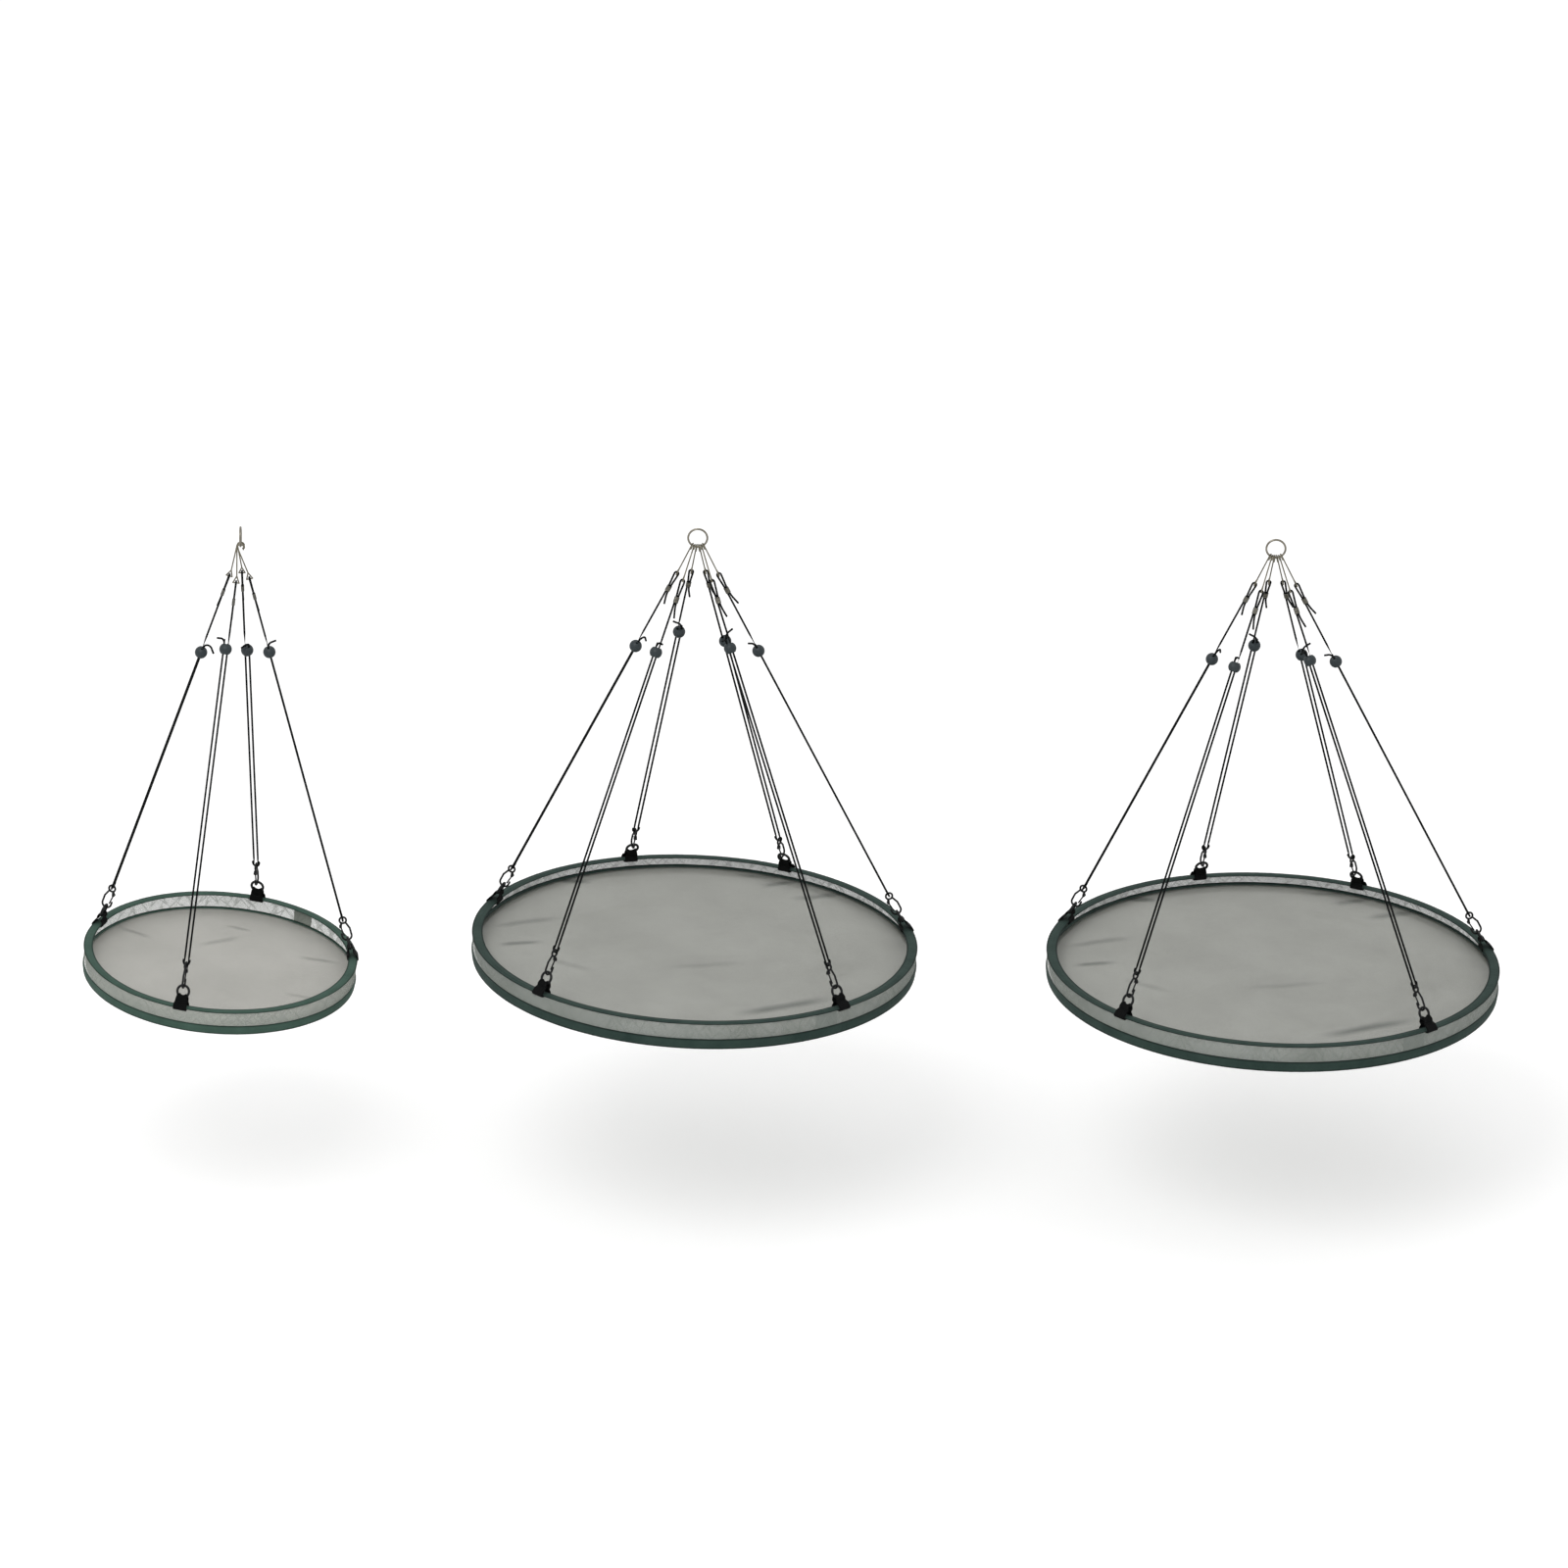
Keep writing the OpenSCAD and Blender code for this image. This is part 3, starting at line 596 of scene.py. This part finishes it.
def hoopFrame(tray, which):
    # centre, back, up, radius and lean of the rim hoop or the base hoop
    if which == "rim":
        return tray["rimAt"], tray["back"], tray["up"], tray["rimR"], tray["lean"]
    return tray["baseAt"], tray["baseBack"], tray["baseUp"], tray["wallR"], 0.0


def buildSleeve(tray, which):
    s, size = sleeves, tray["size"]
    centre, back, up, radius, lean = hoopFrame(tray, which)
    seed = everyTray.index(size) * 7 + (3 if which == "rim" else 11)
    across, depth = (-math.sin(lean), math.cos(lean)), (math.cos(lean), math.sin(lean))
    around = np.linspace(0, 2 * math.pi, s["section"], endpoint=False)
    u = tray["wide"] / 2 * np.cos(around)
    v = sleeveHalf(u) * np.sign(np.sin(around)) * np.abs(np.sin(around)) ** 0.45
    points = np.zeros((s["steps"], s["section"], 3))
    axisX, axisY, axisZ = (np.array(a) for a in (tray["right"], back, up))
    for i in range(s["steps"]):
        a = 2 * math.pi * i / s["steps"]
        run = radius * a / mm
        ripple = s["ripple"][0] * wander(run / 7, seed) + s["ripple"][1] * wander(run / 31, seed, 4)
        shift = s["shift"] * wander(run / 11, seed, 9)
        edge = s["edgeAt"] - s["edgeWander"] * abs(wander(run / 5, seed, 2))
        full = 1 + s["fullness"] * wander(run / 9, seed, 6)
        du = u * edge + shift
        dv = np.clip(v * full + ripple * (2 * u / tray["wide"]) ** 2, -s["mostHalf"], s["mostHalf"])
        r = radius + (du * across[0] + dv * depth[0]) * mm
        h = (du * across[1] + dv * depth[1]) * mm
        points[i] = (np.array(centre) + np.outer(r * math.cos(a), axisX) + np.outer(r * math.sin(a), axisY)
                     + np.outer(h, axisZ))
    along = np.arange(s["steps"] + 1) * 2 * math.pi * radius / s["steps"]
    girth = np.linspace(0, girthOf(tray), s["section"] + 1)
    return gridPiece(f"{size}{which.capitalize()}Sleeve", points, along, girth)


def sleeveStitches(tray, which, offset):
    # a row of stitches on both faces of a sleeve, offset millimetres from its middle
    centre, back, up, radius, lean = hoopFrame(tray, which)
    half = float(sleeveHalf(offset)) * 0.9  # a little sunk into the cloth
    lines = []
    for side in (-1, 1):
        r = radius + (-offset * math.sin(lean) + side * half * math.cos(lean)) * mm
        h = (offset * math.cos(lean) + side * half * math.sin(lean)) * mm
        lines.append([centre + r * (math.cos(a) * tray["right"] + math.sin(a) * back) + h * up
                      for a in np.linspace(0, 2 * math.pi, sleeves["stitchSteps"], endpoint=False)])
    return lines


# net floors and walls

# a crease holds its two ends as shares of the floor's radius, its half width in millimetres and its depth, which
# sets both its painted shade and its bump
smallNet = {
    # 'fold' is the colour of the painted crease shade, also used for the doubled lap of the wall
    "floor": ("bfbeb8", "b3b2ac"), "wall": ("b4bab2", "a8aea6"), "fold": "5f6660",
    "floorShadeAndLap": 0.35, "wallShadeAndLap": 0.4, "floorShare": 0.5, "wallShare": 0.17,
    "lap": (49.8, 58.9),            # degrees between which the wall's strip is doubled
    "creases": [(-0.2, 0.34, 0.16, 0.56, 8, 0.8), (0.54, 0.27, 0.9, 0.2, 8, 1.0),
                (-0.8, 0.58, -0.5, 0.4, 8, 0.8), (0.0, 0.71, 0.22, 0.64, 7, 0.8),
                (0.46, -0.34, 0.76, -0.43, 8, 0.7)],
}
bigNet = {
    # 'fold' is the colour of the painted crease shade, also used for the doubled lap of the wall
    "floor": ("a6a7a1", "9a9b95"), "wall": ("a0a6a1", "90968f"), "fold": "4c524e",
    "floorShadeAndLap": 0.6, "wallShadeAndLap": 0.4, "floorShare": 0.5, "wallShare": 0.24,
    "lap": (303.0, 309.6),
    "creases": [(-0.94, 0.2, -0.58, 0.36, 12, 0.6), (-0.9, 0.0, -0.67, 0.07, 10, 1.0),
                (0.15, -0.7, 0.66, -0.42, 17, 1.0), (0.28, 0.8, 0.48, 0.88, 12, 0.8),
                (0.42, 0.64, 0.7, 0.77, 13, 0.8), (-0.66, 0.77, -0.46, 0.77, 12, 1.0),
                (-0.16, -0.18, 0.26, -0.06, 13, 0.35), (0.16, 0.92, 0.4, 0.9, 10, 0.6),
                (-0.68, -0.11, -0.44, -0.27, 12, 0.35)],
}
nets = {
    "floorThick": 0.5, "wallThick": 0.5, "seam": 0.04, "rings": 34, "steps": 216,
    "sag": 1.6, "rise": 0.8, "inset": 2.0,
    "soft": 1.2, "softSize": 0.09, "ridges": 5, "ridgeHigh": 0.9, "ridgeWide": 0.016, "ridgeLong": 0.22,
    "wallSteps": 720, "wallRows": 12, "folds": 24, "foldDeep": 0.55,
    "tabReach": 4, "tabFade": 3,    # how far beside a tab the wall's top comes back up
    "pitch": 0.95 * mm, "floorClear": 0.5, "wallClear": 0.12,
    "soften": 0.12,                 # how soft a thread's sides are, as a share of half the pitch
    "small": smallNet, "medium": bigNet, "large": bigNet,
}


def floorHeight(r, a, radius, seed):
    # a slightly slack sheet with soft pulls from the hem and a few long ridges
    s = r / radius
    sag = -nets["sag"] * (1 - s * s)
    pulls = wander(a * 6.4, seed) * max(0.0, (s - 0.72) / 0.28) * (1 - s ** 8)
    x, y = r * math.cos(a) / nets["softSize"], r * math.sin(a) / nets["softSize"]
    soft = nets["soft"] * wander(x, y, seed) * (1 - s ** 4)
    ridge = 0.0
    for k in range(nets["ridges"]):
        turn = wander(k * 3.7, seed, 1) * 6.3
        off = 0.25 * wander(k * 5.1, seed, 2) + 0.62
        x, y = r * math.cos(a - turn) / radius - off, r * math.sin(a - turn) / radius
        across, along = x / nets["ridgeWide"], y / nets["ridgeLong"]
        ridge += nets["ridgeHigh"] * math.exp(-across ** 2) * math.exp(-along ** 2)
    return (sag + pulls + soft + ridge * (1 - s ** 10)) * mm


def buildFloor(tray):
    size, radius = tray["size"], tray["wallR"] - nets["inset"] * mm
    seed = everyTray.index(size) * 5 + 2
    half = nets["floorThick"] / 2 * mm
    points, faces = [], []
    right, back, up = (np.array(tray[k]) for k in ("right", "baseBack", "baseUp"))
    centre = np.array(tray["floorAt"]) + up * nets["rise"] * mm
    rings, steps = nets["rings"], nets["steps"]
    spread = [(k / rings) ** 0.8 for k in range(1, rings + 1)]
    flat = []
    for side in (1, -1):
        points.append(centre + up * (floorHeight(0, 0, radius, seed) + side * half))
        flat.append((0, 0))
        for s in spread:
            for j in range(steps):
                a = 2 * math.pi * j / steps
                r = radius * s
                h = floorHeight(r, a, radius, seed) + side * half
                points.append(centre + right * r * math.cos(a) + back * r * math.sin(a) + up * h)
                flat.append((r * math.cos(a), r * math.sin(a)))
    layer = 1 + rings * steps

    def spot(side, k, j):
        return side * layer + 1 + (k - 1) * steps + j % steps
    for side in (0, 1):
        for j in range(steps):
            f = [side * layer, spot(side, 1, j), spot(side, 1, j + 1)]
            faces.append(f if side == 0 else f[::-1])
            for k in range(1, rings):
                f = [spot(side, k, j), spot(side, k + 1, j), spot(side, k + 1, j + 1), spot(side, k, j + 1)]
                faces.append(f if side == 0 else f[::-1])
    for j in range(steps):
        faces.append([spot(0, rings, j), spot(1, rings, j), spot(1, rings, j + 1), spot(0, rings, j + 1)])
    uvs = [flat[i] for f in faces for i in f]
    floor = meshPiece(f"{size}NetFloor", points, faces, uvs)
    return floor


def wallSpan(tray, a):
    # top and bottom of the wall from the rim's plane at angle a, in millimetres; it starts lower under a tab
    away = min(abs((math.degrees(a) - c["turn"] + 540) % 360 - 180) for c in tray["cords"])
    near = away * math.pi / 180 * tray["wallR"] / mm
    under = sleeves["thick"] / 2 + tabs["thick"] + tabs["seat"] + nets["seam"]
    head = -under * clamp((tabs["wide"] / 2 + nets["tabReach"] - near) / nets["tabFade"])
    flat = tray["wallR"] * (math.cos(a) * tray["right"] + math.sin(a) * tray["back"])
    base = tray["baseAt"] - tray["rimAt"]
    slope = (base.dot(tray["baseUp"]) - flat.dot(tray["baseUp"])) / tray["up"].dot(tray["baseUp"])
    return head, slope / mm + tray["wide"] / 2 + nets["seam"]


def wallSpans(tray):
    # at sixty places round the hoop
    return [wallSpan(tray, a) for a in np.linspace(0, 6.2, 60)]


def buildWall(tray):
    size, radius = tray["size"], tray["wallR"]
    seed = everyTray.index(size) * 3 + 1
    n, rows = nets["wallSteps"], nets["wallRows"]
    axisX, axisY, axisZ = (np.array(tray[k]) for k in ("right", "back", "up"))
    points = np.zeros((n, 2 * (rows + 1), 3))
    for i in range(n):
        a = 2 * math.pi * i / n
        head, foot = wallSpan(tray, a)
        run = radius * a / mm
        for j in range(rows + 1):
            s = j / rows
            belly = math.sin(math.pi * s)
            slant = math.sin(nets["folds"] * a + 1.6 * (s - 0.5) + 2 * wander(run / 60, seed))
            cross = math.sin(nets["folds"] * 0.7 * a - 2.2 * (s - 0.5) + 3 * wander(run / 80, seed, 5))
            slack = 0.6 * slant + 0.4 * cross + 0.5 * wander(run / 6, s * 2.2, seed)
            fold = belly * nets["foldDeep"] * slack
            h = (head + (foot - head) * s) * mm
            for side, slot in ((1, j), (-1, 2 * rows + 1 - j)):
                r = radius + (fold + side * nets["wallThick"] / 2) * mm
                points[i, slot] = (np.array(tray["rimAt"]) + axisX * r * math.cos(a) + axisY * r * math.sin(a)
                                   + axisZ * h)
    along = np.arange(n + 1) * 2 * math.pi * radius / n
    heights = wallSpans(tray)
    tall = sum(h - f for h, f in heights) / len(heights) * mm
    down = np.concatenate([np.linspace(0, tall, rows + 1), np.linspace(tall, 0, rows + 1), [0]])
    wall = gridPiece(f"{size}NetWall", points, along, down)
    return wall


# webbing tabs

tabs = {"wide": 20.5, "neck": 16.0, "high": 14.0, "thick": 1.3, "ringWire": 3.8, "ringR": 8.85, "seat": 0.3,
        "pinch": 0.42, "pinchAt": 8.8, "pinchLong": 2.3,   # sewn together between the hoop and the ring
        "curlFrom": 3, "curlOver": 8, "rows": (7.6, 9.9), "zigzag": 0.45, "tackMargin": 1.2,
        "steps": 96, "colour": "050606", "light": "0c0e0e"}


def tabPath(tray, cord):
    # the band's middle line in the tab's own plane: round both edges of the sleeve and over the O-ring's wire
    lean, a = tray["lean"], math.radians(cord["turn"])
    outwards = math.cos(a) * tray["right"] + math.sin(a) * tray["back"]
    across = -math.sin(lean) * outwards + math.cos(lean) * tray["up"]
    end = np.array([across.dot(cord["tabY"]), across.dot(cord["tabZ"])]) * tray["flatHalf"]
    mid = tabs["thick"] / 2
    reach = sleeves["thick"] / 2 + tabs["seat"] + mid
    discs = [(end * (1 + 0.3 / tray["flatHalf"]), reach), (-end, reach),
             (np.array([0, tabs["high"]]), tabs["ringWire"] / 2 + tabs["seat"] + mid)]
    path = []
    for k in range(360):
        d = np.array([math.cos(math.radians(k)), math.sin(math.radians(k))])
        far = max(discs, key=lambda c: c[0] @ d + c[1])
        path.append(far[0] + far[1] * d)
    path.append(path[0])
    path = np.array(path)
    length = np.concatenate([[0], np.cumsum(np.linalg.norm(np.diff(path, axis=0), axis=1))])
    even = np.linspace(0, length[-1], tabs["steps"] + 1)
    return np.stack([np.interp(even, length, path[:, k]) for k in (0, 1)], 1)[:-1], even


def tabWidth(level):
    top = tabs["high"] + tabs["ringR"]
    climb = clamp((level - sleeves["thick"]) / (top - sleeves["thick"]))
    return tabs["wide"] + (tabs["neck"] - tabs["wide"]) * climb


def tabSpot(cord, y, z, wide):
    # flat at the rim, and curled round the O-ring's arc higher up
    near = clamp((z - tabs["curlFrom"]) / tabs["curlOver"])
    near = near * near * (3 - 2 * near)
    out = tabs["ringR"] + tabs["high"] - z
    turn = wide / max(tabs["ringR"], out)
    x = wide + (out * math.sin(turn) - wide) * near
    z += out * (1 - math.cos(turn)) * near
    y *= 1 - tabs["pinch"] * math.exp(-((z - tabs["pinchAt"]) / tabs["pinchLong"]) ** 2)
    return cord["rim"] + (cord["tabX"] * x + cord["tabY"] * y + cord["tabZ"] * z) * mm


def buildTabs(tray):
    size = tray["size"]
    pieces, rows = [], []
    for number, cord in enumerate(tray["cords"]):
        path, even = tabPath(tray, cord)
        after = np.roll(path, -1, 0) - np.roll(path, 1, 0)
        after /= np.linalg.norm(after, axis=1)[:, None]
        out = np.stack([after[:, 1], -after[:, 0]], 1)
        if (out * (path - path.mean(0))).sum() < 0:
            out = -out
        t = np.linspace(-1, 1, 15)
        outer = [(x, 1) for x in t * 0.97] + [(1.0, 0.0)] + [(x, -1) for x in t[::-1] * 0.97] + [(-1.0, 0.0)]
        points = np.zeros((len(path), len(outer), 3))
        for i, (p, o) in enumerate(zip(path, out)):
            half = tabWidth(p[1]) / 2 * (1 + 0.012 * wander(even[i] / 3, number, 3))
            for j, (x, side) in enumerate(outer):
                thick = side * tabs["thick"] / 2 * (1 - 0.22 * abs(x) ** 6)
                points[i, j] = tabSpot(cord, p[0] + o[0] * thick, p[1] + o[1] * thick, x * half)
        across = np.array([x for x, _ in outer] + [-0.97]) * tabs["wide"] / 2 * mm
        pieces.append(gridPiece(f"{size}Tab{number + 1}", points, even * mm, across))
        for level in tabs["rows"]:
            half = tabWidth(level) / 2 - tabs["tackMargin"]
            for sign in (1, -1):
                face = [i for i in range(len(path)) if path[i][0] * sign > 0]
                best = min(face, key=lambda i: abs(path[i][1] - level))
                y = path[best][0] + out[best][0] * (tabs["thick"] / 2 + 0.1)
                heights = [level - tabs["zigzag"], level + tabs["zigzag"]]
                rows.append([tabSpot(cord, y, heights[k % 2], (k / 16 - 1) * half) for k in range(33)])
    return mergePieces(f"{size}Tabs", pieces), rows


def mergePieces(name, pieces):
    with bpy.context.temp_override(active_object=pieces[0], selected_editable_objects=pieces):
        bpy.ops.object.join()
    pieces[0].name = name
    pieces[0].data.name = name
    return pieces[0]


# cords

def smoothLine(anchors):
    # a rounded line through the anchor points (Catmull-Rom), with one more point between each two
    p = [Vector(a) for a in anchors]
    p = [2 * p[0] - p[1]] + p + [2 * p[-1] - p[-2]]
    line = []
    for before, here, there, beyond in zip(p, p[1:], p[2:], p[3:]):
        for t in (0, 0.5):
            line.append(0.5 * (2 * here + (there - before) * t
                               + (2 * before - 5 * here + 4 * there - beyond) * t * t
                               + (3 * here - before - 3 * there + beyond) * t ** 3))
    return line + [p[-2]]


def cordLines(tray):
    rig, lines, size = cordRig, [], tray["size"]
    leg, spread, turn = rig["legX"], rig["eyeSpread"], rig["turnUp"]
    pair, join, neck = rig["pairX"], rig["joinZ"], rig["neckZ"]
    for i, c in enumerate(tray["cords"]):
        def hooked(x, z):
            return c["hook"] + (c["hookX"] * x + c["z"] * z) * mm

        def hung(x, z):
            return c["rim"] + (c["x"] * x + c["z"] * z) * mm
        # loop over the hook's eye, from the free end at the ferrule to the long strand
        free = [hooked(pair + 0.16 * rig["tail"] + 0.7, join - rig["tail"]),
                hooked(pair + 1.1, join - rig["tail"] * 0.42),
                hooked(pair, join), hooked(pair, neck), hooked(pair + 0.75, neck + 11)]
        arc = [hooked(rig["loopR"] * math.cos(t), rig["loopZ"] + rig["loopR"] * math.sin(t))
               for t in np.linspace(-0.06, math.pi + 0.06, 9)]
        down = [hooked(-pair - 0.75, neck + 11), hooked(-pair, neck), hooked(-pair, join)]
        # through the lock, straight as far as it slides, round the snap hook's eye and back up
        lockUp = (c["lock"] - c["rim"]).dot(c["z"]) / mm
        low, high = lockUp - rig["lockHigh"] / 2, lockUp + rig["lockHigh"] / 2
        slide = min(joints[f"{size}_lock_{i + 1}_slide"]["range_m"]) / mm
        lowest = low + slide - rig["belowLock"]
        straight = [low, (low + lowest) / 2, lowest + 6, lowest]
        top = (down[-1] - c["rim"]).dot(c["z"]) / mm
        run = [hung(leg, z) for z in [top - 8, (top + high) / 2, high] + straight]
        bight = [hung(rig["bightX"] * math.cos(t), turn - 0.2 + rig["bightZ"] * math.sin(t))
                 for t in np.linspace(-0.35, -math.pi + 0.35, 7)]
        bight = [hung(spread - 0.2, turn + 3.5)] + bight + [hung(0.2 - spread, turn + 3.5)]
        backUp = [hung(-leg, z) for z in straight[::-1] + [high - 1]]
        # the free end curls out over the lock
        curlWay = math.radians(rig["curls"][size][i])
        out = c["x"] * math.cos(curlWay) + c["y"] * math.sin(curlWay)
        bend = math.radians(rig["droopTurn"] if i == rig["droops"][size] else rig["curlTurn"])
        curl = [hung(-leg, high) + (out * (1 - math.cos(t)) + c["z"] * math.sin(t)) * rig["curlR"] * mm
                for t in bend * np.linspace(0, 1, 7)[1:]]
        rest = (rig["lockTail"] - rig["curlR"] * math.radians(rig["tailTurn"])) * mm
        curl.append(curl[-1] + (curl[-1] - curl[-2]).normalized() * rest)
        lines.append(smoothLine(free + arc + down + run + bight + backUp + curl))
    return lines


# crimped ferrules

ferrules = {"long": 9.4, "top": -78.0, "half": 1.4, "radius": 2.45,
            "dents": (2.7, 6.7), "deep": 0.42, "wide": 0.55}   # two crimps


def buildFerrules(tray):
    f, pieces = ferrules, []
    around = np.linspace(0, 2 * math.pi, 28, endpoint=False)
    # from the top face over its broken edge, down the barrel and round the lower edge
    levels = np.concatenate([[0, 0, 0.25], np.linspace(0.6, f["long"] - 0.6, 22),
                             [f["long"] - 0.25, f["long"], f["long"]]])
    scales = np.concatenate([[0.62, 0.9, 1.0], np.ones(22), [1.0, 0.9, 0.62]])
    for number, c in enumerate(tray["cords"]):
        hookY = c["z"].cross(c["hookX"])
        points = np.zeros((len(levels), len(around), 3))
        for i, (level, scale) in enumerate(zip(levels, scales)):
            dent = f["deep"] * sum(math.exp(-((level - spot) / f["wide"]) ** 2) for spot in f["dents"])
            for j, t in enumerate(around):
                flank = f["half"] * math.copysign(1, math.cos(t)) * min(1, abs(math.cos(t)) * 3)
                x = math.cos(t) * f["radius"] * scale + flank
                y = math.sin(t) * (f["radius"] * scale - dent * abs(math.sin(t)) ** 3)
                points[i, j] = c["hook"] + (c["hookX"] * x + hookY * y + c["z"] * (f["top"] - level)) * mm
        along, girth = np.linspace(0, 0.01, len(levels) + 1), np.linspace(0, 0.02, len(around) + 1)
        name = f"{tray['size']}Ferrule{number + 1}"
        pieces.append(gridPiece(name, points, along, girth, closeAlong=False))
    return mergePieces(f"{tray['size']}Ferrules", pieces)


# finishes

finishes = {
    "ring": nickelMaterial("ringNickel", hexColour("9c978b"), hexColour("746f64"), 0.2, 0.36),
    "hook": nickelMaterial("hookNickel", hexColour("8a8576"), hexColour("676355"), 0.28, 0.46),
    "ferrule": nickelMaterial("ferruleMetal", hexColour("75746e"), hexColour("53524d"), 0.26, 0.42),
    "snap": coatedMaterial("snapCoat", hexColour("0a0c0d"), hexColour("4d4f4e")),
    "oRing": coatedMaterial("oRingCoat", hexColour("0c0e0f"), hexColour("505254")),
    "lock": plasticMaterial("lockPlastic", hexColour("222c30"), hexColour("303b3f")),
    "cord": cordMaterial("cordBraid", hexColour("070909"), hexColour("181c1c")),
    "webbing": webbingMaterial("tabWebbing", hexColour(tabs["colour"]), hexColour(tabs["light"])),
    "tabThread": threadMaterial("tabThread", hexColour("0a0c0c"), hexColour("1a1d1d")),
    "hemThread": threadMaterial("hemThread", hexColour("121b18"), hexColour("26332e")),
}


def settle(piece, body, material=None, node=None):
    # a finished piece gets its material and the body that it rides on, and the node that it stands for is hidden
    if material:
        setMaterial(piece, material)
    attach(piece, body)
    if node:
        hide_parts(node)


def buildTray(size, stitches, sweep):
    tray = readTray(size)
    body, base = size + "_tray", size + "_base"
    colours = (hexColour(sleeves[size][k]) for k in ("colour", "edge", "worn"))
    green = sleeveMaterial(size + "Sleeve", girthOf(tray), *colours)
    for which, onBody in (("rim", body), ("base", base)):
        settle(buildSleeve(tray, which), onBody, green, f"{size}_{which}_hoop")
        edge = tray["wide"] / 2 - sleeves["hem"]
        lines = sleeveStitches(tray, which, edge) + sleeveStitches(tray, which, -edge)
        hem = {**hemStitch, "Material": finishes["hemThread"]}
        rows = bake(polyCurve("rows", lines, True), stitches, hem, f"{size}{which.capitalize()}Stitches")
        settle(rows, onBody)
    print(size, "sleeves sewn")
    floorNet = netMaterial(size + "FloorNet", nets[size], "floor", tray["wallR"])
    settle(buildFloor(tray), base, floorNet, size + "_net_floor")
    wall = buildWall(tray)
    wallNet = netMaterial(size + "WallNet", nets[size], "wall", tray["wallR"])
    settle(wall, body, wallNet, size + "_net_wall")
    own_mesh(wall)
    print(size, "nets hung")
    tabPieces, rows = buildTabs(tray)
    settle(tabPieces, body, finishes["webbing"], size + "_webbing_tabs")
    tack = {**tackStitch, "Material": finishes["tabThread"]}
    settle(bake(polyCurve("tacks", rows, False), stitches, tack, size + "TabStitches"), body)
    braid = {"Radius": cordRig["thick"] / 2 * mm, "Sides": cordRig["sides"], "Material": finishes["cord"]}
    cords = bake(polyCurve("cordPaths", cordLines(tray), False), sweep, braid, size + "Cords")
    joinTurns(cords.data)
    cords.data.shade_smooth()
    settle(cords, body, None, size + "_cords")
    settle(buildFerrules(tray), body, finishes["ferrule"])
    for node, finish in (("top_hooks", "hook"), ("snap_hooks", "snap"), ("o_rings", "oRing")):
        setMaterial(frame["nodes"][f"{size}_{node}"], finishes[finish])
    for number in range(1, len(tray["cords"]) + 1):
        setMaterial(frame["nodes"][f"{size}_cord_lock_{number}"], finishes["lock"])
        setMaterial(frame["nodes"][f"{size}_snap_gate_{number}"], finishes["snap"])
    print(size, "tray built")


# stage, light and camera

studio = {"floorDown": 1.02, "floorHalf": 30, "paper": (0.88, 0.88, 0.88, 1), "world": 0.8, "floorGlow": 0.32,
          "key": 66.0, "keySize": 3.2, "keyAt": (-1.4, -2.6, 3.4), "keyAim": (0.1, 0, -0.6)}
cameraSet = {"lens": 311.85, "sensor": 36.0, "far": 20.0, "clip": 60,
             "elevation": 23.3, "aim": (0.126, 0.0, -0.3913)}


def buildStage():
    far, down = studio["floorHalf"], -studio["floorDown"]
    corners = [(-far, -far, down), (far, -far, down), (far, far, down), (-far, far, down)]
    floor = meshPiece("studioFloor", corners, [(0, 1, 2, 3)])
    if floor.data.polygons[0].normal.z < 0:
        floor.data.flip_normals()
    s = Shader("studioPaper")
    s.set(Base_Color=studio["paper"], Roughness=0.9, Specular_IOR_Level=0.1, Emission_Color=(1, 1, 1, 1))
    rays = s.tree.nodes.new("ShaderNodeLightPath")
    s.set(Emission_Strength=s.times(rays.outputs["Is Camera Ray"], studio["floorGlow"]))
    setMaterial(floor, s.material)
    world = bpy.data.worlds.new("studioWorld")
    world.use_nodes = True
    tree = world.node_tree
    rays = tree.nodes.new("ShaderNodeLightPath")
    seen = tree.nodes.new("ShaderNodeMath")
    seen.operation = "MAXIMUM"
    tree.links.new(rays.outputs["Is Camera Ray"], seen.inputs[0])
    tree.links.new(rays.outputs["Is Transmission Ray"], seen.inputs[1])
    level = tree.nodes.new("ShaderNodeMapRange")
    level.inputs["To Min"].default_value = studio["world"]
    tree.links.new(seen.outputs[0], level.inputs["Value"])
    tree.links.new(level.outputs[0], tree.nodes["Background"].inputs["Strength"])
    tree.nodes["Background"].inputs["Color"].default_value = (1, 1, 1, 1)
    bpy.context.scene.world = world
    lamp = bpy.data.lights.new("keyLight", "AREA")
    lamp.shape, lamp.size, lamp.energy = "DISK", studio["keySize"], studio["key"]
    key = addObject("keyLight", lamp)
    key.location = studio["keyAt"]
    key.rotation_euler = (Vector(studio["keyAim"]) - key.location).to_track_quat("-Z", "Y").to_euler()


def buildCamera():
    c = cameraSet
    lens = bpy.data.cameras.new("camera")
    lens.lens, lens.sensor_width, lens.clip_end = c["lens"], c["sensor"], c["clip"]
    camera = addObject("camera", lens)
    e = math.radians(c["elevation"])
    away = Vector((0, -math.cos(e), math.sin(e)))
    camera.location = Vector(c["aim"]) + away * c["far"]
    camera.rotation_euler = (-away).to_track_quat("-Z", "Y").to_euler()
    bpy.context.scene.camera = camera


buildCamera()
buildStage()
print("stage and camera set")
stitchNodes, sweepNodes = stitchTree(), sweepTree()
setMaterial(frame["nodes"]["hanging_rings"], finishes["ring"])
for traySize in everyTray:
    buildTray(traySize, stitchNodes, sweepNodes)
bpy.context.scene.view_settings.view_transform = "Standard"
print("pieces done")
